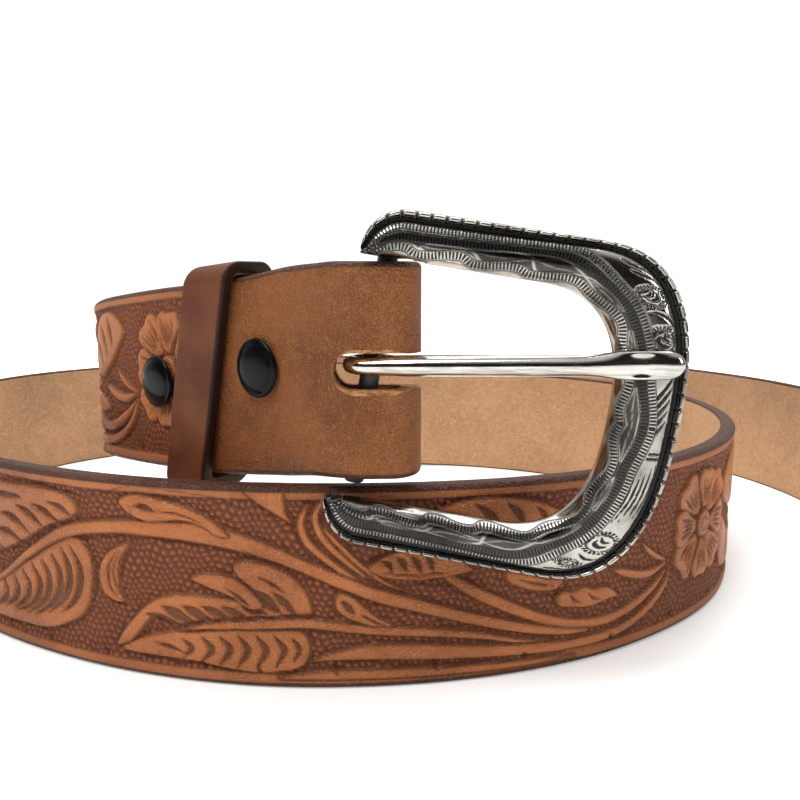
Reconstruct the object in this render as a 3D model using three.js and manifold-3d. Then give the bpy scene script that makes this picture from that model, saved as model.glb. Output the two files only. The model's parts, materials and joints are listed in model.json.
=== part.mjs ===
// A western tooled belt lying coiled on its edge, with its buckle end raised on the front loop.
// Millimetres, +Z up, +X to the right, +Y away from the viewer; the coil stands on z = 0.
// The origin is the middle of the coil's bounding box, on the surface that it stands on.

import * as THREE from 'three';
import { mergeVertices } from 'three/addons/utils/BufferGeometryUtils.js';
import Module from 'manifold-3d';

// Strap
const strapWidth = 38;
const strapThick = 3.5;
const strapLength = 1212;
const edgeBevel = 0.8;
const tipLength = 34;
const tipEndWidth = 9;
const tipRoundness = 1.8;

// Coil, as it lies
const coilWidth = 290;
const coilDepth = 240;
const maxTurn = 0.1;
const maxStep = 12;

// Fold of the buckle end
const foldRise = 1.8;
const flapLength = 76;
const foldOpenLength = 8.5;
const foldTrim = 0.5;
const foldTrimReach = 12;
const layerGap = 0.3;
const touchGap = 0.3;

// Holes of the tip
const holeCount = 5;
const holePitch = 25.4;
const holeRadius = 2.4;
const firstHoleFromTip = 115;

// Snaps
const snapCapRadius = 5.45;
const snapCapHeight = 1.5;
const snapShankRadius = 2.2;
const snapHoleGap = 0.4;
const snapStandoff = 0.5;
const snapStudRadius = 4.8;
const snapStudHeight = 0.9;
const snapPlaces = [
  { along: 28.8, above: 1.6 },
  { along: 59.8, above: -0.4 },
];

// Keeper
const keeperWidth = 12;
const keeperThick = 2.5;
const keeperPlace = 45.2;
const keeperHeadroom = 1.2;
const keeperFootroom = 1.6;
const keeperSideGap = 0.45;
const keeperCornerRadius = 1.4;
const keeperTilt = THREE.MathUtils.degToRad(12);

// Buckle frame
const barRadius = 1.75;
const barGap = 0.45;
const barDrop = 1.2;
const buckleTilt = THREE.MathUtils.degToRad(9);
const frameYaw = THREE.MathUtils.degToRad(3.5);
const frameReach = 52.3;
const armWidth = 8.1;
const windowReach = 40.7;
const windowRoom = 1.5;
const armOverhang = 4.2;
const armEndRadius = 7.2;
const armEndInset = 0.3;
const cornerReach = 18.6;
const windowCornerReach = 15.8;
const cornerPower = 2.6;
const frameThick = 4;
const frameSetback = 3.8;
const armEndThinning = 1;
const rimWidth = 0.9;
const rimHeight = 3;
const rimRounding = 0.3;
const grooveWidth = 0.5;
const grooveHeight = 2.2;
const notchPitch = 2.5;
const notchWidth = 0.45;
const notchDepth = 0.75;
const lugRadius = 2.8;
const lugHeight = 5;
const lugSink = 2;
const frameGap = 0.35;
const frameSwing = THREE.MathUtils.degToRad(12.5);

// Tongue
const tongueWire = 1.5;
const tongueShaft = 1.75;
const tongueTipWidth = 2;
const tongueTipDepth = 1.3;
const tongueLoopGap = 0.35;
const tongueWrap = THREE.MathUtils.degToRad(262);
const tongueRise = 1.3;
const tongueShortfall = 1.1;
const tongueTipLength = 11;
const tongueOverCrest = 0.6;
const tongueHeight = 2.1;
const slotHeight = 6.3;
const slotLength = 15.2;
const slotSag = 0.9;

// The frame's outline runs from the end of an arm (0) along the arm to the middle of the far side (1).
const armEndShare = 0.14;
const armShare = 0.5;

// The domed band of the frame, from the groove to the window:
// across is a share of the band's width, height is a share of frameThick.
const bandTable = [
  { across: 0.22, height: 0.85 },
  { across: 0.5, height: 1 },
  { across: 0.75, height: 0.88 },
  { across: 0.9, height: 0.62 },
  { across: 1, height: 0.3 },
];

// A snap's cap and stud, from the rim to the middle: shares of their radius and height.
const capTable = [
  { out: 0.93, up: 0 },
  { out: 1, up: 0.2 },
  { out: 1, up: 0.4 },
  { out: 0.85, up: 0.75 },
  { out: 0.5, up: 0.95 },
  { out: 0, up: 1 },
];
const studTable = [
  { out: 1, up: 0 },
  { out: 1, up: 0.6 },
  { out: 0.85, up: 1 },
  { out: 0, up: 1 },
];

// The flattened tip of the tongue: along is a share of its length, size of its width and depth.
const tongueTipTable = [
  { along: 0.25, size: 1 },
  { along: 0.5, size: 1 },
  { along: 0.75, size: 1 },
  { along: 0.9, size: 0.8 },
  { along: 1, size: 0.35 },
];

// What follows from the sizes above
const cavity = 2 * (barRadius + barGap);
const foldRadius = strapThick + cavity / 2;
const foldLow = strapWidth + foldRise;
const barHeight = foldLow + strapWidth / 2 - barDrop;
const windowHalfHeight = strapWidth / 2 + windowRoom;
const frameHalfHeight = windowHalfHeight + armWidth;
const tongueLoopRadius = barRadius + tongueLoopGap + tongueWire;

// Grain face of the strap in plan, from the fold to past the tip.
// along and away are shares of coilWidth and coilDepth from the fold, lift is a share of foldLow.
const routeTable = [
  { along: 0.0000, away: 0.0000, lift: 1.000 },
  { along: -0.0190, away: 0.0000, lift: 1.000 },
  { along: -0.0345, away: 0.0054, lift: 1.000 },
  { along: -0.0524, away: 0.0233, lift: 0.985 },
  { along: -0.0703, away: 0.0442, lift: 0.960 },
  { along: -0.0897, away: 0.0642, lift: 0.931 },
  { along: -0.1172, away: 0.0887, lift: 0.900 },
  { along: -0.1621, away: 0.1308, lift: 0.867 },
  { along: -0.2034, away: 0.1792, lift: 0.830 },
  { along: -0.2390, away: 0.2317, lift: 0.790 },
  { along: -0.2631, away: 0.2900, lift: 0.740 },
  { along: -0.2741, away: 0.3533, lift: 0.680 },
  { along: -0.2724, away: 0.4200, lift: 0.600 },
  { along: -0.2562, away: 0.4887, lift: 0.500 },
  { along: -0.2241, away: 0.5596, lift: 0.390 },
  { along: -0.1776, away: 0.6242, lift: 0.270 },
  { along: -0.1172, away: 0.6763, lift: 0.160 },
  { along: -0.0483, away: 0.7117, lift: 0.070 },
  { along: 0.0241, away: 0.7267, lift: 0.015 },
  { along: 0.0966, away: 0.7200, lift: 0.000 },
  { along: 0.1586, away: 0.6950, lift: 0.000 },
  { along: 0.2138, away: 0.6588, lift: 0.000 },
  { along: 0.2621, away: 0.6075, lift: 0.000 },
  { along: 0.2952, away: 0.5442, lift: 0.000 },
  { along: 0.3145, away: 0.4754, lift: 0.000 },
  { along: 0.3214, away: 0.4033, lift: 0.000 },
  { along: 0.3162, away: 0.3333, lift: 0.000 },
  { along: 0.3021, away: 0.2692, lift: 0.000 },
  { along: 0.2817, away: 0.2167, lift: 0.000 },
  { along: 0.2586, away: 0.1742, lift: 0.000 },
  { along: 0.2310, away: 0.1375, lift: 0.000 },
  { along: 0.1931, away: 0.1000, lift: 0.000 },
  { along: 0.1448, away: 0.0637, lift: 0.000 },
  { along: 0.0897, away: 0.0367, lift: 0.000 },
  { along: 0.0328, away: 0.0200, lift: 0.000 },
  { along: -0.0207, away: 0.0129, lift: 0.000 },
  { along: -0.0724, away: 0.0133, lift: 0.000 },
  { along: -0.1241, away: 0.0221, lift: 0.000 },
  { along: -0.1793, away: 0.0404, lift: 0.000 },
  { along: -0.2345, away: 0.0683, lift: 0.000 },
  { along: -0.2862, away: 0.1033, lift: 0.000 },
  { along: -0.3414, away: 0.1512, lift: 0.000 },
  { along: -0.3966, away: 0.2137, lift: 0.000 },
  { along: -0.4448, away: 0.2888, lift: 0.000 },
  { along: -0.4828, away: 0.3742, lift: 0.000 },
  { along: -0.5052, away: 0.4658, lift: 0.000 },
  { along: -0.5121, away: 0.5575, lift: 0.000 },
  { along: -0.5010, away: 0.6408, lift: 0.000 },
  { along: -0.4707, away: 0.7179, lift: 0.000 },
  { along: -0.4207, away: 0.7846, lift: 0.000 },
  { along: -0.3517, away: 0.8450, lift: 0.000 },
  { along: -0.2690, away: 0.8971, lift: 0.000 },
  { along: -0.1759, away: 0.9408, lift: 0.000 },
  { along: -0.0690, away: 0.9742, lift: 0.000 },
  { along: 0.0414, away: 0.9908, lift: 0.000 },
  { along: 0.1448, away: 0.9846, lift: 0.000 },
  { along: 0.2345, away: 0.9533, lift: 0.000 },
  { along: 0.3103, away: 0.8992, lift: 0.000 },
  { along: 0.3724, away: 0.8221, lift: 0.000 },
  { along: 0.4224, away: 0.7304, lift: 0.000 },
  { along: 0.4579, away: 0.6492, lift: 0.000 },
  { along: 0.4793, away: 0.5658, lift: 0.000 },
  { along: 0.4872, away: 0.4783, lift: 0.000 },
  { along: 0.4810, away: 0.3908, lift: 0.000 },
  { along: 0.4586, away: 0.3033, lift: 0.000 },
  { along: 0.4138, away: 0.1908, lift: 0.000 },
  { along: 0.3483, away: 0.0867, lift: 0.000 },
  { along: 0.2621, away: -0.0175, lift: 0.000 },
  { along: 0.1586, away: -0.0967, lift: 0.000 },
];

const wasm = await Module();
wasm.setup();

const leather = { color: 0x9c5a34, roughness: 0.55, metalness: 0 };
const plainLeather = { color: 0xb5763f, roughness: 0.6, metalness: 0 };
const blackLacquer = { color: 0x101416, roughness: 0.2, metalness: 0.3 };
const agedSilver = { color: 0xb9b7b0, roughness: 0.35, metalness: 1 };
const nickel = { color: 0xd6d3cc, roughness: 0.15, metalness: 1 };

// Solids and meshes

function toSolid(geometry) {
  const bare = geometry.clone();
  bare.deleteAttribute('normal');
  bare.deleteAttribute('uv');
  const merged = mergeVertices(bare, 1e-4);
  return new wasm.Manifold(new wasm.Mesh({
    numProp: 3,
    vertProperties: new Float32Array(merged.attributes.position.array),
    triVerts: new Uint32Array(merged.index.array),
  }));
}

function fromSolid(solid) {
  const { vertProperties, triVerts } = solid.getMesh();
  const geometry = new THREE.BufferGeometry();
  geometry.setAttribute('position', new THREE.BufferAttribute(new Float32Array(vertProperties), 3));
  geometry.setIndex(new THREE.BufferAttribute(new Uint32Array(triVerts), 1));
  geometry.computeVertexNormals();
  return geometry;
}

function signedVolume(positions, faces) {
  let volume = 0;
  for (let i = 0; i < faces.length; i += 3) {
    const [a, b, c] = [positions[faces[i]], positions[faces[i + 1]], positions[faces[i + 2]]];
    volume += a.dot(b.clone().cross(c)) / 6;
  }
  return volume;
}

// A closed solid through sections that all have the same number of points, with flat ends.
function loft(sections) {
  const size = sections[0].length;
  const positions = sections.flat();
  const faces = [];
  for (let i = 0; i + 1 < sections.length; i += 1) {
    for (let j = 0; j < size; j += 1) {
      const a = i * size + j;
      const b = i * size + (j + 1) % size;
      faces.push(a, b, b + size, a, b + size, a + size);
    }
  }
  const last = (sections.length - 1) * size;
  for (let j = 1; j + 1 < size; j += 1) {
    faces.push(0, j + 1, j, last, last + j, last + j + 1);
  }
  if (signedVolume(positions, faces) < 0) faces.reverse();
  const geometry = new THREE.BufferGeometry();
  geometry.setFromPoints(positions);
  geometry.setIndex(faces);
  return geometry;
}

function makeMesh(name, geometry, look) {
  const mesh = new THREE.Mesh(geometry, new THREE.MeshStandardMaterial(look));
  mesh.name = name;
  return mesh;
}

const clamp01 = (t) => Math.min(1, Math.max(0, t));
const ease = (t) => clamp01(t) ** 2 * (3 - 2 * clamp01(t));

// Numbers evenly spaced from one value up to, and not including, another.
const evenly = (from, to, count) => (
  Array.from({ length: count }, (_, i) => from + ((to - from) * i) / count)
);

// The strap's line

function makeRoute() {
  const points = routeTable.map(
    ({ along, away, lift }) => new THREE.Vector3(along * coilWidth, away * coilDepth, lift * foldLow),
  );
  const curve = new THREE.CatmullRomCurve3(points, false, 'centripetal');
  const fineSteps = 3000;
  const fine = curve.getPoints(fineSteps);
  const lengths = [0];
  for (let i = 1; i < fine.length; i += 1) {
    lengths.push(lengths[i - 1] + Math.hypot(fine[i].x - fine[i - 1].x, fine[i].y - fine[i - 1].y));
  }
  return { fine, lengths, total: lengths[lengths.length - 1] };
}

const route = makeRoute();

// The point on the grain face at distance s from the fold, and the unit vectors there:
// ahead runs along the strap towards the tip, inward runs through it to the flesh face.
function place(s) {
  const { fine, lengths, total } = route;
  const wanted = Math.min(Math.max(s, 0), total);
  let low = 0;
  let high = lengths.length - 1;
  while (high - low > 1) {
    const middle = Math.floor((low + high) / 2);
    if (lengths[middle] <= wanted) low = middle;
    else high = middle;
  }
  const t = (wanted - lengths[low]) / (lengths[high] - lengths[low]);
  const point = fine[low].clone().lerp(fine[high], t);
  const spread = 3;
  const before = fine[Math.max(0, low - spread)];
  const after = fine[Math.min(fine.length - 1, high + spread)];
  const ahead = new THREE.Vector3(after.x - before.x, after.y - before.y, 0).normalize();
  const inward = new THREE.Vector3(ahead.y, -ahead.x, 0);
  const lift = Math.max(0, point.z);
  return { point: new THREE.Vector3(point.x, point.y, 0), ahead, inward, lift };
}

// The clear space between the two layers of the fold, wide at the bar and closed at the snaps.
function cavityAt(s) {
  const closed = snapPlaces[0].along - 2 * snapCapRadius;
  const closing = (s - foldOpenLength) / (closed - foldOpenLength);
  return layerGap + (cavity - layerGap) * (1 - ease(closing));
}

function trimAt(s) {
  return foldTrim * (1 - ease((s - foldTrimReach) / foldTrimReach));
}

// One cross-section of the strap: eight points with bevelled edges.
function strapSection(point, inward, low, high) {
  const bevel = Math.min(edgeBevel, (high - low) / 4);
  const outline = [
    [0, low + bevel], [0, high - bevel],
    [bevel, high], [strapThick - bevel, high],
    [strapThick, high - bevel], [strapThick, low + bevel],
    [strapThick - bevel, low], [bevel, low],
  ];
  return outline.map(([deep, z]) => point.clone().addScaledVector(inward, deep).setZ(z));
}

// Distances along the strap, close together where it bends.
function stepsAlong(from, to) {
  const steps = [from];
  let s = from;
  while (s < to) {
    const here = place(s).ahead;
    let step = maxStep;
    while (step > 1 && here.angleTo(place(s + step).ahead) > maxTurn) step *= 0.85;
    s = Math.min(to, s + step);
    if (to - s < 1) s = to;
    steps.push(s);
  }
  return steps;
}

// Height of half the strap at the pointed tip, t going from 0 where the point starts to 1 at its end.
function tipHalfWidth(t) {
  const full = strapWidth / 2;
  const end = tipEndWidth / 2;
  return end + (full - end) * Math.sqrt(1 - t ** tipRoundness);
}

const foldCentre = new THREE.Vector3(0, foldRadius, 0);

function strapSections() {
  const sections = [];
  const strapMiddle = (s) => place(s).lift + strapWidth / 2;
  const layer = (s, depth, side) => {
    const { point, inward, lift } = place(s);
    const from = point.clone().addScaledVector(inward, depth);
    const trim = trimAt(s);
    return strapSection(from, inward.clone().multiplyScalar(side), lift + trim, lift + strapWidth - trim);
  };
  for (const s of stepsAlong(0, flapLength).reverse()) {
    sections.push(layer(s, 2 * strapThick + cavityAt(s), -1));
  }
  const crestSteps = 12;
  for (let i = 1; i < crestSteps; i += 1) {
    const angle = Math.PI / 2 - (Math.PI * i) / crestSteps;
    const outward = new THREE.Vector3(Math.cos(angle), Math.sin(angle), 0);
    const point = foldCentre.clone().addScaledVector(outward, foldRadius);
    sections.push(strapSection(point, outward.negate(), foldLow + foldTrim, foldLow + strapWidth - foldTrim));
  }
  const tipEnd = strapLength - (Math.PI / 2) * foldRadius;
  const tipStart = tipEnd - tipLength;
  for (const s of stepsAlong(0, tipStart)) sections.push(layer(s, 0, 1));
  const tipSteps = 7;
  for (let i = 1; i <= tipSteps; i += 1) {
    const t = Math.sin((Math.PI / 2) * (i / tipSteps));
    const s = tipStart + t * tipLength;
    const { point, inward } = place(s);
    const half = tipHalfWidth(t);
    sections.push(strapSection(point, inward, strapMiddle(s) - half, strapMiddle(s) + half));
  }
  return sections;
}

// A round bar from a point along a direction, for holes.
function drill(from, direction, radius, length, sides = 12) {
  const cylinder = new THREE.CylinderGeometry(radius, radius, length, sides);
  cylinder.translate(0, length / 2, 0);
  const turn = new THREE.Quaternion().setFromUnitVectors(new THREE.Vector3(0, 1, 0), direction);
  cylinder.applyQuaternion(turn);
  cylinder.translate(from.x, from.y, from.z);
  return toSolid(cylinder);
}

const barCentre = new THREE.Vector3(-3.3, foldRadius, barHeight);
const tongueCentre = new THREE.Vector3(
  barCentre.x + tongueHeight * Math.tan(buckleTilt), barCentre.y, barCentre.z + tongueHeight,
);

// The long hole through both layers of the fold, for the tongue.
function slotSolid() {
  const radius = slotHeight / 2;
  const middle = tongueCentre.z - slotSag;
  const right = foldRadius + strapThick;
  const shape = new THREE.Shape();
  const left = foldRadius - slotLength;
  shape.moveTo(right, middle - radius);
  shape.lineTo(right, middle + radius);
  shape.lineTo(left + radius, middle + radius);
  shape.absarc(left + radius, middle, radius, Math.PI / 2, 1.5 * Math.PI, false);
  shape.closePath();
  const depth = 2 * foldRadius + strapThick;
  const geometry = new THREE.ExtrudeGeometry(shape, { depth, bevelEnabled: false, curveSegments: 7 });
  geometry.rotateX(Math.PI / 2);
  geometry.translate(0, depth - strapThick / 2, 0);
  return toSolid(geometry);
}

function makeStrap() {
  let solid = toSolid(loft(strapSections())).subtract(slotSolid());
  for (const { along, above } of snapPlaces) {
    const { point, inward, lift } = place(along);
    const from = point.clone().addScaledVector(inward, -strapThick);
    from.z = lift + strapWidth / 2 + above;
    solid = solid.subtract(drill(from, inward, snapShankRadius + snapHoleGap, 5 * strapThick));
  }
  const tipEnd = strapLength - (Math.PI / 2) * foldRadius;
  for (let i = 0; i < holeCount; i += 1) {
    const { point, inward, lift } = place(tipEnd - firstHoleFromTip - i * holePitch);
    const from = point.clone().addScaledVector(inward, -strapThick);
    from.z = lift + strapWidth / 2;
    solid = solid.subtract(drill(from, inward, holeRadius, 3 * strapThick));
  }
  return fromSolid(solid);
}

// A snap half: its profile turned round its own axis, which is then laid along a direction.
function turned(profile, from, direction) {
  const points = profile.map(([radius, height]) => new THREE.Vector2(radius, height));
  const geometry = new THREE.LatheGeometry(points, 16);
  const turn = new THREE.Quaternion().setFromUnitVectors(new THREE.Vector3(0, 1, 0), direction);
  geometry.applyQuaternion(turn);
  geometry.translate(from.x, from.y, from.z);
  return fromSolid(toSolid(geometry));
}

// The two halves of a snap meet between the layers, the cap in front and the stud behind.
function makeSnap({ along, above }, name) {
  const { point, inward, lift } = place(along);
  const outward = inward.clone().negate();
  const front = point.clone().setZ(lift + strapWidth / 2 + above);
  const shank = strapThick + layerGap / 2 - touchGap / 2;
  const half = (table, radius, height) => [
    [0, -shank], [snapShankRadius, -shank], [snapShankRadius, snapStandoff],
    ...table.map(({ out, up }) => [out * radius, snapStandoff + up * height]),
  ];
  const cap = half(capTable, snapCapRadius, snapCapHeight);
  const stud = half(studTable, snapStudRadius, snapStudHeight);
  const back = front.clone().addScaledVector(inward, 2 * strapThick + cavityAt(along));
  return [
    makeMesh(`${name}_cap`, turned(cap, front, outward), blackLacquer),
    makeMesh(`${name}_stud`, turned(stud, back, inward), blackLacquer),
  ];
}

function roundedRectangle(path, width, low, high, radius) {
  const half = width / 2;
  path.moveTo(-half + radius, low);
  path.lineTo(half - radius, low);
  path.absarc(half - radius, low + radius, radius, -Math.PI / 2, 0, false);
  path.lineTo(half, high - radius);
  path.absarc(half - radius, high - radius, radius, 0, Math.PI / 2, false);
  path.lineTo(-half + radius, high);
  path.absarc(-half + radius, high - radius, radius, Math.PI / 2, Math.PI, false);
  path.lineTo(-half, low + radius);
  path.absarc(-half + radius, low + radius, radius, Math.PI, 1.5 * Math.PI, false);
  return path;
}

// The leather loop round both layers, pushed askew so that its top leans towards the buckle.
function makeKeeper() {
  const inside = 2 * strapThick + cavityAt(keeperPlace) + 2 * keeperSideGap;
  const low = -strapWidth / 2 - keeperFootroom;
  const high = strapWidth / 2 + keeperHeadroom;
  const ring = (path, wall) => roundedRectangle(
    path, inside + 2 * wall, low - wall, high + wall, keeperCornerRadius + wall,
  );
  const shape = ring(new THREE.Shape(), keeperThick);
  shape.holes.push(ring(new THREE.Path(), 0));
  const geometry = new THREE.ExtrudeGeometry(shape, {
    depth: keeperWidth, bevelEnabled: false, curveSegments: 5,
  });
  geometry.translate(0, 0, -keeperWidth / 2);
  const lean = Math.tan(keeperTilt);
  const reach = keeperWidth / 2 + lean * (strapWidth / 2);
  const [before, here, after] = [-reach, 0, reach].map((step) => place(keeperPlace + step));
  const slope = (after.lift - before.lift) / (2 * reach);
  geometry.applyMatrix4(new THREE.Matrix4().set(1, 0, 0, 0, 0, 1, -slope, 0, 0, lean, 1, 0, 0, 0, 0, 1));
  const ahead = after.point.clone().sub(before.point).normalize();
  const inward = new THREE.Vector3(ahead.y, -ahead.x, 0);
  const up = new THREE.Vector3(0, 0, 1);
  geometry.applyMatrix4(new THREE.Matrix4().makeBasis(inward, up, ahead.clone().negate()));
  const middle = before.point.clone().add(after.point).add(here.point).add(here.point).multiplyScalar(0.25);
  middle.addScaledVector(inward, strapThick + cavityAt(keeperPlace) / 2);
  geometry.translate(middle.x, middle.y, here.lift + strapWidth / 2);
  return fromSolid(toSolid(geometry));
}

// A point on the frame's outline in its own plane, x along the arms and z up, at share t of the outline.
function outerEdge(t) {
  if (t < armEndShare) {
    const angle = (t / armEndShare) * (Math.PI / 2);
    const centre = [armEndRadius - armOverhang, frameHalfHeight - armEndRadius];
    return [centre[0] - armEndRadius * Math.cos(angle), centre[1] + armEndRadius * Math.sin(angle)];
  }
  const armStart = armEndRadius - armOverhang;
  const armStop = frameReach - cornerReach;
  if (t < armShare) {
    return [armStart + armProgress(t) * (armStop - armStart), frameHalfHeight];
  }
  return superCorner((t - armShare) / (1 - armShare), armStop, cornerReach, frameHalfHeight);
}

function innerEdge(t) {
  const armEnd = armEndInset - armOverhang;
  const armStart = armEndRadius - armOverhang;
  const armStop = windowReach - windowCornerReach;
  if (t < armEndShare) return [armEnd + (t / armEndShare) * (armStart - armEnd), windowHalfHeight];
  if (t < armShare) return [armStart + armProgress(t) * (armStop - armStart), windowHalfHeight];
  return superCorner((t - armShare) / (1 - armShare), armStop, windowCornerReach, windowHalfHeight);
}

// How far share t has come along the straight of an arm.
function armProgress(t) {
  return (t - armEndShare) / (armShare - armEndShare);
}

// A quarter of a superellipse, from the end of the arm round to the middle of the far side.
function superCorner(t, start, reach, half) {
  const angle = (1 - t) * (Math.PI / 2);
  const power = 2 / cornerPower;
  return [start + reach * Math.cos(angle) ** power, half * Math.sin(angle) ** power];
}

// Across the frame from its outer edge to the window: a raised rim, a groove and a domed band.
function frameSection(t, side) {
  const [outerX, outerZ] = outerEdge(t);
  const [innerX, innerZ] = innerEdge(t);
  const outer = new THREE.Vector3(outerX, 0, side * outerZ);
  const inner = new THREE.Vector3(innerX, 0, side * innerZ);
  const width = outer.distanceTo(inner);
  const band = rimWidth + grooveWidth;
  const thinning = armEndThinning * (1 - ease(t / armEndShare));
  const profile = [
    [0, thinning], [0, rimHeight - rimRounding], [rimRounding, rimHeight],
    [rimWidth - rimRounding, rimHeight], [rimWidth, grooveHeight], [band, grooveHeight],
    ...bandTable.map((row) => [band + row.across * (width - band), row.height * frameThick]),
    [width, thinning],
  ];
  return profile.map(([across, height]) => {
    const point = outer.clone().lerp(inner, across / width);
    return point.setY(-frameSetback - height);
  });
}

function frameBody() {
  const half = [
    ...evenly(0, armEndShare, 5), ...evenly(armEndShare, armShare, 3), ...evenly(armShare, 1, 12),
  ];
  const upper = half.map((t) => frameSection(t, 1));
  const lower = half.map((t) => frameSection(t, -1)).reverse();
  return toSolid(loft([...upper, frameSection(1, 1), ...lower]));
}

// Notches across the raised rim, evenly spaced along the outer edge.
function notchSolids() {
  const samples = 400;
  const edge = [];
  for (let i = -samples; i <= samples; i += 1) {
    const [x, z] = outerEdge(1 - Math.abs(i) / samples);
    edge.push(new THREE.Vector2(x, i > 0 ? z : -z));
  }
  const notches = [];
  let travelled = notchPitch / 2;
  for (let i = 1; i < edge.length; i += 1) {
    const step = edge[i].clone().sub(edge[i - 1]);
    travelled += step.length();
    if (travelled < notchPitch) continue;
    travelled -= notchPitch;
    const notch = new THREE.BoxGeometry(notchWidth, 2 * notchDepth, 2 * rimWidth);
    notch.rotateY(-Math.atan2(step.y, step.x));
    notch.translate(edge[i].x, -frameSetback - rimHeight, edge[i].y);
    notches.push(toSolid(notch));
  }
  return wasm.Manifold.union(notches);
}

// A lug that carries one end of the bar, round behind the bar and reaching forward into the arm.
function lugSolid(side) {
  const shape = new THREE.Shape();
  shape.absarc(0, 0, lugRadius, 0, Math.PI, false);
  shape.lineTo(-lugRadius, -frameSetback - grooveHeight);
  shape.lineTo(lugRadius, -frameSetback - grooveHeight);
  shape.closePath();
  const start = side > 0 ? windowHalfHeight - lugSink : -windowHalfHeight - lugHeight;
  const geometry = new THREE.ExtrudeGeometry(shape, {
    depth: lugHeight + lugSink, bevelEnabled: false, curveSegments: 8,
  });
  geometry.translate(0, 0, start);
  return toSolid(geometry);
}

function boxBetween(low, high) {
  const size = high.clone().sub(low);
  const geometry = new THREE.BoxGeometry(size.x, size.y, size.z);
  const middle = low.clone().add(high).multiplyScalar(0.5);
  geometry.translate(middle.x, middle.y, middle.z);
  return geometry;
}

// The frame in its own plane, with the room for the strap's fold and for the front loop cut away,
// at rest and with the frame swung out.
function makeFrame(intoFrame) {
  const room = new THREE.Vector3(frameGap, frameGap, frameGap);
  const foldBox = boxBetween(
    new THREE.Vector3(-flapLength, 0, foldLow + foldTrim).sub(room),
    new THREE.Vector3(foldRadius, 4 * foldRadius, foldLow + strapWidth - foldTrim).add(room),
  );
  const loopBox = boxBetween(
    new THREE.Vector3(-coilWidth / 4, frontLoopFace() - frameGap, 0),
    new THREE.Vector3(coilWidth / 4, 4 * foldRadius, strapWidth + frameGap),
  );
  const barLow = barRadius * Math.tan(buckleTilt)
    - (barCentre.z - strapWidth - frameGap) / Math.cos(buckleTilt);
  const barLength = windowHalfHeight + lugHeight / 2 - barLow;
  const bar = new THREE.CylinderGeometry(barRadius, barRadius, barLength, 16);
  bar.rotateX(Math.PI / 2);
  bar.translate(0, 0, barLow + barLength / 2);
  let solid = frameBody().subtract(notchSolids()).add(lugSolid(1)).add(lugSolid(-1));
  for (const box of [foldBox, loopBox]) {
    box.applyMatrix4(intoFrame);
    solid = solid.subtract(toSolid(box)).subtract(toSolid(box.rotateZ(frameSwing)));
  }
  solid = solid.add(toSolid(bar));
  return fromSolid(solid);
}

// How far behind the fold's front face the front loop's own front face lies.
function frontLoopFace() {
  const from = route.lengths.findIndex((length) => length > strapLength / 3);
  const to = route.lengths.findIndex((length) => length > (2 * strapLength) / 3);
  return Math.min(...route.fine.slice(from, to).map((point) => point.y));
}

// The tongue: an open loop round the bar, a shaft that lies over the frame, and a flattened tip.
function makeTongue() {
  const sides = 10;
  const sections = [];
  const reach = (frameReach - tongueShortfall) * Math.cos(buckleTilt);
  const overFrame = frameSetback + frameThick + touchGap + tongueTipDepth + tongueOverCrest;
  const slope = Math.atan2(overFrame - tongueLoopRadius, reach);
  const ring = (x, y, z, aheadAngle, halfDepth, halfHeight) => {
    const across = new THREE.Vector3(Math.sin(aheadAngle), -Math.cos(aheadAngle), 0);
    const points = [];
    for (let i = 0; i < sides; i += 1) {
      const angle = (2 * Math.PI * i) / sides;
      const point = new THREE.Vector3(x, y, z + halfHeight * Math.sin(angle));
      points.push(point.addScaledVector(across, halfDepth * Math.cos(angle)));
    }
    sections.push(points);
  };
  const leave = -Math.PI / 2 - slope;
  const loopSteps = 18;
  for (let i = 0; i <= loopSteps; i += 1) {
    const angle = leave - tongueWrap * (1 - i / loopSteps);
    const [x, y] = [tongueLoopRadius * Math.cos(angle), tongueLoopRadius * Math.sin(angle)];
    ring(x, y, 0, angle + Math.PI / 2, tongueWire, tongueWire);
  }
  const start = [tongueLoopRadius * Math.cos(leave), tongueLoopRadius * Math.sin(leave)];
  const shaftLength = (reach - start[0]) / Math.cos(slope);
  const along = (distance, halfDepth, halfHeight) => {
    const x = start[0] + distance * Math.cos(slope);
    const y = start[1] - distance * Math.sin(slope);
    ring(x, y, (tongueRise * distance) / shaftLength, -slope, halfDepth, halfHeight);
  };
  const tipStart = shaftLength - tongueTipLength;
  for (const share of [0.25, 0.6, 1]) along(share * tipStart, tongueShaft, tongueShaft);
  for (const { along: share, size } of tongueTipTable) {
    along(tipStart + share * tongueTipLength, size * tongueTipDepth, size * tongueTipWidth);
  }
  return fromSolid(toSolid(loft(sections)));
}

// The belt

const belt = new THREE.Group();
belt.add(makeMesh('strap', makeStrap(), leather));
belt.add(makeMesh('keeper', makeKeeper(), plainLeather));
snapPlaces.forEach((snap, i) => belt.add(...makeSnap(snap, `snap_${i + 1}`)));

const buckle = new THREE.Group();
buckle.position.copy(barCentre);
buckle.rotation.set(0, buckleTilt, -frameYaw, 'YXZ');
buckle.updateMatrixWorld();
buckle.add(makeMesh('buckle_frame', makeFrame(buckle.matrixWorld.clone().invert()), agedSilver));
belt.add(buckle);

const tongue = makeMesh('tongue', makeTongue(), nickel);
tongue.position.copy(tongueCentre);
tongue.rotation.z = -frameYaw;
belt.add(tongue);

const extent = new THREE.Box3().setFromObject(belt);
const middle = extent.getCenter(new THREE.Vector3());
const root = new THREE.Group();
belt.position.set(-middle.x, -middle.y, -extent.min.z);
root.add(belt);

export default root;
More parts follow.
